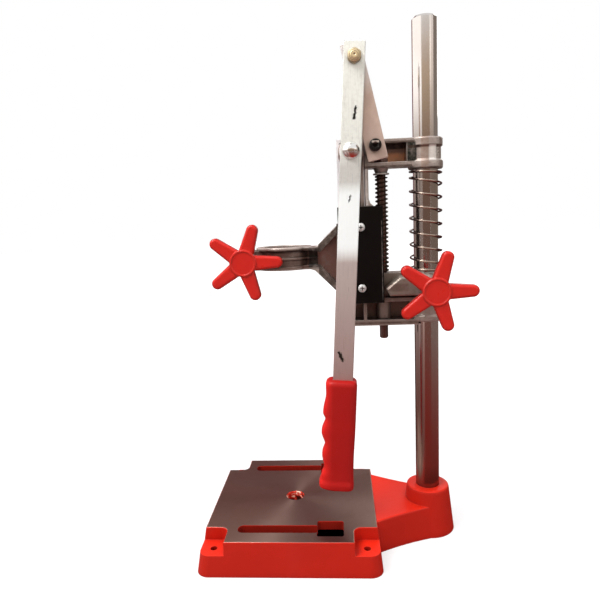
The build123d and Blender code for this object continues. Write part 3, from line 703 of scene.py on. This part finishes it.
# %% Small steel builder
def make_steel(name, bright, dull, smooth, coarse, scales=(900.0, 900.0, 900.0), worn=(0.85, 0.82, 0.79),
               metallic=1.0, middle=None, rings=(), stains_and_painted_light=()):
    material, tree, shader = finish(name, bright, metallic, smooth)
    across_x, across_y, across_z = scales
    lines = use_group(tree, grain, across_x=across_x, across_y=across_y, across_z=across_z).outputs["Value"]
    tone = use_group(tree, patches, scale=90.0, contrast=1.2).outputs["Value"]
    color = blend_color(tree, tone, bright, dull)
    color = with_stains_and_painted_light(tree, color, stains_and_painted_light)
    # Painted shade and dirt in the hollows
    shade_and_dirt = use_group(tree, hollow_shade_and_dirt, reach=0.005, strength=0.7).outputs["Mask"]
    color = blend_color(tree, shade_and_dirt, color, toned(dull, 0.2))
    corners = use_group(tree, rubbed_corners, reach=0.0004, breakup=0.4)
    color = blend_color(tree, times(tree, corners.outputs["Mask"], 0.6), color, worn)
    if rings:
        mask = times(tree, turned_rings(tree, middle, rings), remap(tree, tone, 0.2, 0.6, 0.9, 0.5))
        color = blend_color(tree, mask, color, toned(dull, 0.16))
    plug(tree, shader, Base_Color=color, Roughness=remap(tree, lines, 0.3, 0.7, smooth, coarse),
         Normal=bump(tree, lines, 0.12, 0.0001, corners.outputs["Normal"]))
    return material


print("steel builder ready")

# %% Link and rod
# Painted light: the top of the link lighter, its lower end darker
link_painted_light = (
    ((0.03, 0.05, 0.487), (0.05, 0.11, 0.55), 0.03, (0.95, 0.91, 0.89), 0.9),
    ((0.03, 0.05, 0.40), (0.05, 0.11, 0.426), 0.012, (0.66, 0.50, 0.43), 0.6),
)
link_steel = make_steel("rolled link bar", (0.80, 0.62, 0.52), (0.50, 0.35, 0.28), 0.38, 0.50,
                        (500.0, 500.0, 60.0), metallic=0.5, stains_and_painted_light=link_painted_light)
rod_steel = make_steel("ground rod", (0.22, 0.15, 0.14), (0.12, 0.075, 0.065), 0.22, 0.34,
                       (700.0, 700.0, 30.0))
dress("link_bar", link_steel)
dress("guide_rod", rod_steel)
dress("guide_rod_nut", rod_steel)
print("link and rod dressed")

# %% Bolts and washers
bright_steel = make_steel("bright steel", (0.76, 0.74, 0.71), (0.58, 0.55, 0.52), 0.26, 0.38, metallic=0.7)
yellow_zinc = make_steel("yellow zinc", (0.88, 0.72, 0.44), (0.70, 0.52, 0.28), 0.28, 0.40, metallic=0.6,
                         middle=(0.07703, 0.48994),
                         rings=((6.3, 0.55), (4.7, 0.35), (2.9, 0.35), (0.4, 0.9)))
pivot_chrome = make_steel("chromed dome", (0.86, 0.84, 0.82), (0.78, 0.76, 0.74), 0.06, 0.12)
# The upper rim of the socket screw catches the light
screw_rim = (((0.03, 0.0917, 0.4132), (0.08, 0.0977, 0.4145), 0.0006, (0.80, 0.76, 0.70), 1.0),)
black_oxide = make_steel("black oxide", (0.030, 0.028, 0.027), (0.018, 0.017, 0.016), 0.34, 0.48,
                         worn=(0.20, 0.19, 0.18), stains_and_painted_light=screw_rim)
for name in ("lever_pivot_washer", "link_top_washer", "link_lower_washer", "rod_spring_washer",
             "clamp_stud", "collar_stud", "collar_nut"):
    dress(name, bright_steel)
for name in ("link_top_nut", "link_top_bolt_head", "link_top_bolt_end"):
    dress(name, yellow_zinc)
dress("lever_pivot_bolt", pivot_chrome)
dress("link_lower_screw", black_oxide)
print("bolts and washers dressed")

# %% [markdown]
# The cover's two screws have real cross recesses, which are painted dark inside, as shade. Each recess is
# two thin boxes, one upright and one level.

# %% Cover screws
screw_y, screw_heights = 0.0802, (0.2726, 0.3345)
recess_long, recess_thin = 0.0023, 0.0007
cross_recesses = tuple(
    ((0.0215, screw_y - a, z - b), (0.0244, screw_y + a, z + b), 0.0002, (0.012, 0.010, 0.008), 1.0)
    for z in screw_heights for a, b in ((recess_long, recess_thin), (recess_thin, recess_long)))
screw_steel = make_steel("screw steel", (0.92, 0.91, 0.89), (0.72, 0.70, 0.67), 0.22, 0.34, metallic=0.35,
                         stains_and_painted_light=cross_recesses)
dress("cover_screws", screw_steel)
print("cover screws dressed,", len(cross_recesses), "slits")

# %% [markdown]
# ## Cover: black sheet
# The cover is thin sheet, bent at one edge and painted black. It shows only a soft sheen and a painted
# highlight along its bend. The Bevel node finds every corner alike, so the bend gets a thin box of its own.

# %% Cover material
black_sheet, tree, shader = finish("black sheet", (0.008, 0.006, 0.005), 0.0, 0.38, Specular_IOR_Level=0.12)
tone = use_group(tree, patches, scale=60.0, contrast=1.0).outputs["Value"]
corners = use_group(tree, rubbed_corners, reach=0.0006, breakup=0.5)
color = blend_color(tree, tone, (0.008, 0.006, 0.005), (0.004, 0.003, 0.003))
color = blend_color(tree, times(tree, corners.outputs["Mask"], 0.5), color, (0.22, 0.19, 0.17))
# Painted highlight along the bend, broken up by grain
bend = inside_box(tree, (0.0215, 0.10085, 0.2600), (0.0240, 0.10125, 0.3400), 0.00035)
highlight_breakup = use_group(tree, grain, across_x=60.0, across_y=60.0, across_z=160.0).outputs["Value"]
bend = times(tree, bend, remap(tree, highlight_breakup, 0.35, 0.60, 0.15, 0.9))
color = blend_color(tree, bend, color, (0.20, 0.17, 0.155))
plug(tree, shader, Base_Color=color, Roughness=remap(tree, tone, 0.2, 0.8, 0.30, 0.46),
     Normal=corners.outputs["Normal"])
dress("carriage_cover", black_sheet)
print("cover dressed")

# %% [markdown]
# ## Grip and knobs: red plastic
# The grip is soft plastic moulded on the bar, a little uneven and waxy; its side that faces -Y is painted
# brighter, as painted light. The knobs are harder and shinier, and their flanks are painted darker, as
# painted shade. Light scattered below the surface would be slow to render and hardly shows at this size, so
# a saturated red and a thin coat stand for it.

# %% Red plastics
def make_red_plastic(name, clean, worn, smooth, coarse, coat, flank_shade, lit_side=0.0):
    """The flank amount paints shade on the rim between the two broad faces. The lit side amount paints the
    side facing -Y brighter, as painted light.
    """
    material, tree, shader = finish(name, clean, 0.0, smooth, Coat_Weight=coat, Coat_Roughness=0.18,
                                    Specular_IOR_Level=0.18)
    facing = facing_axes(tree)
    tone = use_group(tree, patches, scale=40.0, contrast=1.0).outputs["Value"]
    color = blend_color(tree, tone, clean, worn)
    # Painted shade and dirt in the hollows
    shade_and_dirt = use_group(tree, hollow_shade_and_dirt, reach=0.006, strength=0.6).outputs["Mask"]
    color = blend_color(tree, shade_and_dirt, color, toned(worn, 0.35))
    corners = use_group(tree, rubbed_corners, reach=0.0012, breakup=0.3)
    color = blend_color(tree, times(tree, corners.outputs["Mask"], 0.35), color, (0.88, 0.09, 0.06))
    # Painted light: the side facing -Y brighter
    painted_lit_side = remap(tree, facing["Y"], -0.15, -0.75, 0.0, lit_side)
    color = blend_color(tree, painted_lit_side, color, toned(clean, 1.6))
    # Painted shade on the flanks
    painted_flank_shade = remap(tree, math_node(tree, "ABSOLUTE", facing["X"]), 0.80, 0.25, 0.0, flank_shade)
    color = blend_color(tree, painted_flank_shade, color, toned(worn, 0.30))
    skin = use_group(tree, cast_skin, scale=300.0, pits=0.1).outputs["Height"]
    plug(tree, shader, Base_Color=color, Roughness=remap(tree, tone, 0.2, 0.8, smooth, coarse),
         Normal=bump(tree, skin, 0.16, 0.0003, corners.outputs["Normal"]))
    return material


grip_plastic = make_red_plastic("soft red grip", (0.42, 0.006, 0.004), (0.35, 0.005, 0.004), 0.42, 0.54,
                                coat=0.02, flank_shade=0.0, lit_side=0.9)
knob_plastic = make_red_plastic("hard red knob", (0.66, 0.022, 0.013), (0.52, 0.013, 0.009), 0.24, 0.36,
                                coat=0.14, flank_shade=0.45)
dress("clamp_knob", knob_plastic)
dress("collar_knob", knob_plastic)
print("plastics dressed")

# %% [markdown]
# ## Mesh helpers
# The grip, the springs, the floor and the cards are meshes of this lesson's own. The grip and the springs
# are both rings of points joined by quads, so they share the joining.

# %% Mesh helpers
def join_rings(mesh, rings):
    """Fills quads from ring to ring, closes both ends and turns every face outward."""
    for a, b in zip(rings, rings[1:]):
        for i in range(len(a)):
            n = (i + 1) % len(a)
            mesh.faces.new((a[i], a[n], b[n], b[i]))
    mesh.faces.new(rings[0][::-1])
    mesh.faces.new(rings[-1])
    bmesh.ops.recalc_face_normals(mesh, faces=mesh.faces)


def new_piece(name, mesh):
    """An object of the scene made from a finished bmesh."""
    data = bpy.data.meshes.new(name)
    mesh.to_mesh(data)
    mesh.free()
    piece = bpy.data.objects.new(name, data)
    scene.collection.objects.link(piece)
    return piece


print("mesh helpers ready")

# %% [markdown]
# ## Grip: flat face, finger swells, flared foot
# The real grip has a flat face between two straight edges. Its finger swells bulge only behind that face,
# so a plain round section would look swollen. Here each ring is the sum of two curves: a boxy one for the
# face and a narrow one for the swell. The rings are eased between a few stations along the lever, and the
# mouth is a real pocket that the bar goes into.

# %% Grip: stations along the lever
grip_stations = (
    # How far below the pivot, then how far out the face edge, the fingers, the back and the two sides
    # reach, in millimetres
    (223.0, 13.4, 14.4, 12.4, 9.6), (224.6, 14.4, 16.2, 13.8, 11.2), (227.5, 14.8, 17.1, 14.3, 11.8),
    (238.0, 14.8, 16.6, 14.3, 11.8), (257.0, 14.3, 19.1, 14.3, 11.8), (263.6, 14.2, 16.5, 14.3, 11.7),
    (277.4, 14.2, 20.0, 14.2, 11.8), (290.2, 14.2, 16.3, 13.9, 11.7), (301.5, 13.8, 18.8, 13.7, 11.8),
    (315.2, 13.4, 16.2, 13.8, 11.7), (326.0, 13.0, 19.2, 14.1, 12.0), (332.5, 13.0, 20.9, 14.7, 13.5),
    (335.4, 12.8, 20.6, 14.5, 13.5), (336.7, 12.2, 19.6, 13.7, 12.7), (337.1, 11.4, 18.2, 12.6, 11.6),
)


def eased(distance):
    """The grip's four reaches at a distance below the pivot, with no slope at each station."""
    for before, after in zip(grip_stations, grip_stations[1:]):
        if distance <= after[0]:
            share = (distance - before[0]) / (after[0] - before[0])
            share = (1 - math.cos(math.pi * share)) / 2
            return [a + (b - a) * share for a, b in zip(before[1:], after[1:])]
    return grip_stations[-1][1:]


print(len(grip_stations), "stations")

# %% Grip: one ring
bolt_low, bolt_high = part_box("lever_pivot_bolt")
bar_low, bar_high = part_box("lever_bar")
pivot = (bolt_low + bolt_high) / 2
pivot.x = (bar_low.x + bar_high.x) / 2
down_lever = Vector((0, -math.sin(lean), -math.cos(lean)))
across_lever = Vector((0, math.cos(lean), -math.sin(lean)))


def grip_ring(mesh, distance, edge, fingers, back, half, boxy=4.5, count=72):
    """A ring across the lever. The higher boxy is, the squarer the ring. Lengths are millimetres."""
    ring = []
    for i in range(count):
        c, s = math.cos(2 * math.pi * i / count), math.sin(2 * math.pi * i / count)
        out = math.copysign(abs(c) ** (2 / boxy), c) * half
        if s > 0:
            side = back * s ** (2 / boxy)
        else:
            side = -edge * abs(s) ** (2 / boxy) - (fingers - edge) * abs(s) ** 3
        place = pivot + (down_lever * distance + across_lever * side + Vector((out, 0, 0))) / 1000
        ring.append(mesh.verts.new(place))
    return ring


print("pivot at", [round(part, 4) for part in pivot])

# %% Grip: the piece
pocket_end, pocket_boxy = 300.0, 24.0
pocket_half_width = 10.05
pocket_half_thickness = (bar_high.x - bar_low.x) * 500 + 0.05


def make_grip():
    mesh = bmesh.new()
    pocket = (pocket_half_width, pocket_half_width, pocket_half_width, pocket_half_thickness)
    rings = [grip_ring(mesh, d, *pocket, boxy=pocket_boxy) for d in (pocket_end, grip_stations[0][0])]
    distances = {station[0] for station in grip_stations}
    distances |= {float(d) for d in range(int(grip_stations[2][0]) + 1, int(grip_stations[-1][0]))}
    rings += [grip_ring(mesh, d, *eased(d)) for d in sorted(distances)]
    join_rings(mesh, rings)
    piece = new_piece("moulded_grip", mesh)
    piece.data.polygons.foreach_set("use_smooth", [True] * len(piece.data.polygons))
    piece.data.set_sharp_from_angle(angle=math.radians(48))
    piece.data.materials.append(grip_plastic)
    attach(piece, "lever")
    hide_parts("lever_grip")
    return piece


grip = make_grip()
print("grip has", len(grip.data.polygons), "faces")

# %% [markdown]
# ## Springs
# A compression spring is one wire on a helix with a closer turn at each end. A curve with a round bevel
# could draw it too. On the stand the springs sit on the bracket and flatten toward it as the carriage comes
# down.
# Here they are rigid meshes hung on the bracket, and they replace the rigid CAD ones.

# %% Spring: height along the wire
def coil_heights(low, high, turns, end_pitch, end_turns=1.0, ease=0.25):
    """A function from turns to height: a close turn at each end, eased into the open turns between."""
    pitch = (high - low - 2 * end_turns * end_pitch) / (turns - 2 * end_turns)

    def climb(t):
        if t <= end_turns - ease:
            return end_pitch * t
        if t >= end_turns + ease:
            return end_pitch * end_turns + pitch * (t - end_turns)
        blend = (t - end_turns + ease) / (2 * ease)
        return end_pitch * t + (pitch - end_pitch) * ease * blend * blend

    return lambda t: low + climb(t) if t < turns / 2 else high - climb(turns - t)


print("heights ready")

# %% Spring: one wire
def wind_spring(name, material, low, high, centre_y, coil_radius, wire_radius, turns, end_pitch,
                start, hand):
    """One wire as a tube of quads that follows the helix. Start is in degrees, hand is 1 or -1."""
    heights = coil_heights(low + wire_radius, high - wire_radius, turns, end_pitch)
    steps, sides, nudge = int(turns * 48), 14, 0.01
    round_wire = [2 * math.pi * k / sides for k in range(sides)]
    mesh = bmesh.new()
    rings = []
    for i in range(steps + 1):
        t = turns * i / steps
        angle = math.radians(start) + hand * 2 * math.pi * t
        out = Vector((math.cos(angle), math.sin(angle), 0))
        centre = Vector((0, centre_y, 0)) + coil_radius * out + Vector((0, 0, heights(t)))
        slope = (heights(min(t + nudge, turns)) - heights(max(t - nudge, 0))) / (2 * nudge)
        along = Vector((-math.sin(angle), math.cos(angle), 0)) * hand * 2 * math.pi * coil_radius
        along = (along + Vector((0, 0, slope))).normalized()
        side = along.cross(out).normalized()
        rings.append([mesh.verts.new(centre + wire_radius * (math.cos(a) * out + math.sin(a) * side))
                      for a in round_wire])
    join_rings(mesh, rings)
    piece = new_piece(name, mesh)
    piece.data.polygons.foreach_set("use_smooth", [len(p.vertices) == 4 for p in piece.data.polygons])
    piece.data.materials.append(material)
    return piece


print("wire helper ready")

# %% [markdown]
# The column's spring is thick bright wire, which mirrors dark red things on its two sides. The rod's spring
# is thin dark wire. Both stand on the bracket with a clearance too small to see.

# %% Spring steels
dark_sides = (
    ((-0.02, 0.158, 0.25), (0.02, 0.170, 0.42), 0.0030, (0.085, 0.018, 0.028), 0.9),
    ((-0.02, 0.126, 0.25), (0.02, 0.138, 0.42), 0.0030, (0.060, 0.030, 0.028), 0.9),
)
spring_steel = make_steel("spring wire", (0.62, 0.52, 0.44), (0.40, 0.30, 0.24), 0.24, 0.36,
                          stains_and_painted_light=dark_sides)
rod_spring_steel = make_steel("dark spring wire", (0.070, 0.045, 0.030), (0.028, 0.018, 0.012), 0.26, 0.40,
                              worn=(0.30, 0.24, 0.18))
print("spring steels mixed")

# %% Springs
bracket_top, head_bottom, washer_bottom = 0.286, 0.390, 0.3864
clearance = 0.00005
spring_jobs = (
    ("column_spring_wire", "column_spring", spring_steel, head_bottom,
     {"centre_y": 0.148, "coil_radius": 0.0158, "wire_radius": 0.0010, "turns": 9.0,
      "end_pitch": 0.0034, "start": 170, "hand": -1}),
    ("rod_spring_wire", "rod_spring", rod_spring_steel, washer_bottom,
     {"centre_y": 0.1032, "coil_radius": 0.00575, "wire_radius": 0.00085, "turns": 23.5,
      "end_pitch": 0.0025, "start": 200, "hand": 1}),
)
for name, node_name, steel, top, coil in spring_jobs:
    spring = wind_spring(name, steel, bracket_top + clearance, top - clearance, **coil)
    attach(spring, "bracket")
    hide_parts(node_name)
    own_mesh(spring)
    print(name, len(spring.data.polygons), "faces")

# %% [markdown]
# ## Floor and background
# The stand is shown on white. Lamps strong enough to make a floor white would burn out the object too. So
# the floor is a wide grey disc that takes the shadow, and glows only for the camera and for reflections.
# Under the base it is painted dark and does not glow, a painted shadow, so that no light leaks up into the
# base's hollow.

# %% Helpers: glowing surfaces
def empty_tree(owner):
    """The node tree of a material or a world, with nothing in it yet."""
    owner.use_nodes = True
    owner.node_tree.nodes.clear()
    return owner.node_tree


def seen_directly(tree):
    """1 for camera, mirror and glass rays, 0 for light that bounces off dull surfaces."""
    path = add(tree, "ShaderNodeLightPath")
    seen = math_node(tree, "MAXIMUM", path.outputs["Is Camera Ray"], path.outputs["Is Glossy Ray"])
    return math_node(tree, "MAXIMUM", seen, path.outputs["Is Transmission Ray"])


print("glow helpers ready")

# %% Floor
floor_radius, floor_gap = 8.0, 0.0002
base_half_x, base_half_y = 0.091, 0.089

mesh = bmesh.new()
bmesh.ops.create_circle(mesh, cap_ends=True, segments=96, radius=floor_radius)
floor = new_piece("floor", mesh)
floor.location.z = -floor_gap

floor_white = bpy.data.materials.new("floor white")
tree = empty_tree(floor_white)
place = object_place(tree)
parts = axes(tree, place)
# Painted shadow: under the base the floor is dark and does not glow
beside_x = math_node(tree, "GREATER_THAN", math_node(tree, "ABSOLUTE", parts["X"]), base_half_x)
beside_y = math_node(tree, "GREATER_THAN", math_node(tree, "ABSOLUTE", parts["Y"]), base_half_y)
beside = math_node(tree, "MAXIMUM", beside_x, beside_y)
out_from_middle = vector_node(tree, "LENGTH", place)
brightness = times(tree, remap(tree, out_from_middle, 0.35, 1.6, 0.70, 1.0), beside)
floor_grey = blend_color(tree, beside, (0.01, 0.008, 0.007), (0.30, 0.30, 0.30))
dull = add(tree, "ShaderNodeBsdfDiffuse", {"Color": floor_grey})
strength = times(tree, seen_directly(tree), brightness)
glow = add(tree, "ShaderNodeEmission", {"Color": (1, 1, 1, 1), "Strength": strength})
both = add(tree, "ShaderNodeAddShader", {0: dull.outputs[0], 1: glow.outputs[0]})
add(tree, "ShaderNodeOutputMaterial", {"Surface": both.outputs[0]})
floor.data.materials.append(floor_white)
print("floor radius", floor_radius, "m")

# %% [markdown]
# ## World
# The world is white for the camera and for mirrors. As a light it is dimmer at the horizon and below it
# than overhead, like a room with a pale ceiling, so undersides stay darker than tops. A photographed sky
# would bring colours that the white background doesn't have.

# %% World
world = bpy.data.worlds.new("white room")
scene.world = world
tree = empty_tree(world)
steep = axes(tree, add(tree, "ShaderNodeTexCoord").outputs["Generated"])["Z"]
sky = remap(tree, steep, 0.0, 1.0, 0.32, 1.05)
seen = seen_directly(tree)
strength = math_node(tree, "ADD", times(tree, sky, one_minus(tree, seen)), seen)
light = add(tree, "ShaderNodeBackground", {"Color": (1, 1, 1, 1), "Strength": strength})
add(tree, "ShaderNodeOutputWorld", {"Surface": light.outputs[0]})
scene.view_settings.view_transform = "Standard"
print("world white")

# %% [markdown]
# ## Lamps
# A large soft lamp hangs high in front on the left, so upward faces are bright and upright ones calmer, and
# its highlight makes the fan on the turned table. A weaker lamp on the right opens the shadows, and one
# behind lights the edges. Small lamps would draw hard shadows that the photo doesn't have.

# %% Lamps
def soft_lamp(name, place, target, size, power):
    data = bpy.data.lights.new(name, "AREA")
    data.shape = "RECTANGLE"
    data.size, data.size_y = size
    data.energy = power
    lamp = bpy.data.objects.new(name, data)
    scene.collection.objects.link(lamp)
    lamp.location = place
    lamp.rotation_euler = (Vector(target) - Vector(place)).to_track_quat("-Z", "Y").to_euler()
    return lamp


middle = (0, 0.06, 0.2)
soft_lamp("key_lamp", (0.6, -0.9, 1.9), middle, (1.1, 1.1), 46)
fill_lamp = soft_lamp("fill_lamp", (1.5, 1.4, 0.9), middle, (0.9, 1.2), 9)
fill_lamp.visible_glossy = False
soft_lamp("back_lamp", (-1.6, 0.9, 1.2), middle, (1.0, 1.0), 6)
print("lamps placed")

# %% [markdown]
# ## Cards for the metal to reflect
# Polished metal needs something to reflect. A photographed room could be wrapped round the scene, but it
# would light everything else too. Coloured cards stand round the stand instead, seen by mirror rays alone.
# Upright ones draw bands on the column and level ones, near the floor, warm what it mirrors from below.

# %% Helpers: where a card stands, and its glow
cards_middle_y = 0.1


def around_stand(from_degrees, to_degrees, radius=2.2):
    """Points on a circle round the stand. Degrees are counted from +X toward +Y."""
    count = max(2, int(abs(to_degrees - from_degrees) / 6))
    turns = [math.radians(from_degrees + (to_degrees - from_degrees) * i / count) for i in range(count + 1)]
    return [(radius * math.cos(a), cards_middle_y + radius * math.sin(a)) for a in turns]


def card_glow(name, upright, low, high, low_color, high_color):
    """Light that runs from one colour to another, up an upright card or outward on a level one."""
    material = bpy.data.materials.new(name)
    tree = empty_tree(material)
    place = object_place(tree)
    if upright:
        mix = remap(tree, axes(tree, place)["Z"], low, high)
    else:
        flat = vector_node(tree, "MULTIPLY", place, (1, 1, 0))
        mix = remap(tree, vector_node(tree, "LENGTH", flat), 0.3, 1.1)
    glow = add(tree, "ShaderNodeEmission", {"Color": blend_color(tree, mix, low_color, high_color)})
    add(tree, "ShaderNodeOutputMaterial", {"Surface": glow.outputs[0]})
    return material


print("glow for cards ready")

# %% Helper: one card
def make_card(name, rim, low, high, low_color, high_color, upright=True):
    """A strip through rim points, from height low to high, or a level fan of them at height low."""
    mesh = bmesh.new()
    if upright:
        rows = [(mesh.verts.new((x, y, low)), mesh.verts.new((x, y, high))) for x, y in rim]
        for a, b in zip(rows, rows[1:]):
            mesh.faces.new((a[0], b[0], b[1], a[1]))
    else:
        mesh.faces.new([mesh.verts.new((x, y, low)) for x, y in rim + [(0, cards_middle_y)]])
    card = new_piece(name, mesh)
    card.data.materials.append(card_glow(name, upright, low, high, low_color, high_color))
    card.visible_camera = card.visible_diffuse = card.visible_shadow = False
    card.visible_transmission = card.visible_volume_scatter = False


print("card helper ready")

# %% Upright cards
card_foot, eye_level, card_top = -0.1, 0.62, 2.6
upright_cards = (
    # Name, from and to in degrees, lower and upper edge, and the colour at each
    ("warm_upper_card", -36, 38, eye_level, 1.15, (0.24, 0.15, 0.11), (0.80, 0.62, 0.44)),
    ("left_upper_card", -142, -37, eye_level, 1.0, (0.50, 0.43, 0.39), (1.9, 1.85, 1.8)),
    ("left_top_card", -142, -37, 1.0, card_top, (1.7, 1.65, 1.6), (1.3, 1.28, 1.25)),
    ("narrow_upper_card", 39, 52, eye_level, 0.86, (0.32, 0.25, 0.21), (0.80, 0.66, 0.55)),
    ("narrow_top_card", 39, 52, 0.86, 1.2, (0.80, 0.66, 0.55), (2.2, 2.1, 1.95)),
    ("soft_top_card", 52, 76, eye_level, 1.2, (0.34, 0.27, 0.22), (1.3, 1.15, 1.05)),
    ("grey_upper_card", 76, 176, eye_level, card_top, (0.27, 0.23, 0.20), (0.34, 0.29, 0.26)),
    ("far_edge_card", -182, -143, card_foot, 1.0, (0.20, 0.055, 0.07), (0.22, 0.07, 0.085)),
    ("far_top_card", -182, -166, 1.0, card_top, (0.22, 0.07, 0.085), (0.26, 0.09, 0.11)),
    ("left_far_top_card", -166, -143, 1.0, card_top, (0.42, 0.25, 0.23), (0.60, 0.40, 0.36)),
    ("left_level_card", -142, -37, card_foot, eye_level, (0.30, 0.22, 0.19), (0.55, 0.47, 0.43)),
    ("warm_level_card", -36, 38, card_foot, eye_level, (0.20, 0.12, 0.10), (0.24, 0.15, 0.11)),
    ("right_level_card", 39, 176, card_foot, eye_level, (0.22, 0.16, 0.13), (0.30, 0.24, 0.20)),
)
for name, begin, end, low, high, low_color, high_color in upright_cards:
    make_card(name, around_stand(begin, end), low, high, low_color, high_color)
# A small bright one close by makes the fan on the turned table
fan_white = (7.0, 6.6, 6.2)
make_card("fan_card", around_stand(-64, -48, radius=1.1), 1.3, 2.2, fan_white, fan_white)
print(len(upright_cards) + 1, "upright cards placed")

# %% Level cards
level_cards = (
    # From and to in degrees, and the colour near the stand and far from it
    (-142, -76, (0.24, 0.12, 0.10), (0.44, 0.34, 0.32)),
    (-76, -60, (0.34, 0.20, 0.18), (0.80, 0.62, 0.60)),
    (-60, -40, (0.22, 0.10, 0.09), (0.36, 0.21, 0.19)),
    (-40, -24, (0.30, 0.13, 0.11), (0.66, 0.46, 0.42)),
    (-24, 38, (0.30, 0.034, 0.026), (0.24, 0.12, 0.10)),
    (38, 146, (0.27, 0.036, 0.028), (0.31, 0.23, 0.21)),
    (146, 218, (0.07, 0.016, 0.016), (0.10, 0.07, 0.07)),
)
for number, (begin, end, near, far) in enumerate(level_cards, start=1):
    rim = around_stand(begin, end, radius=2.1)
    make_card("low_card_" + str(number), rim, 0.0003, 0.0, near, far, upright=False)
print(len(level_cards), "level cards placed")
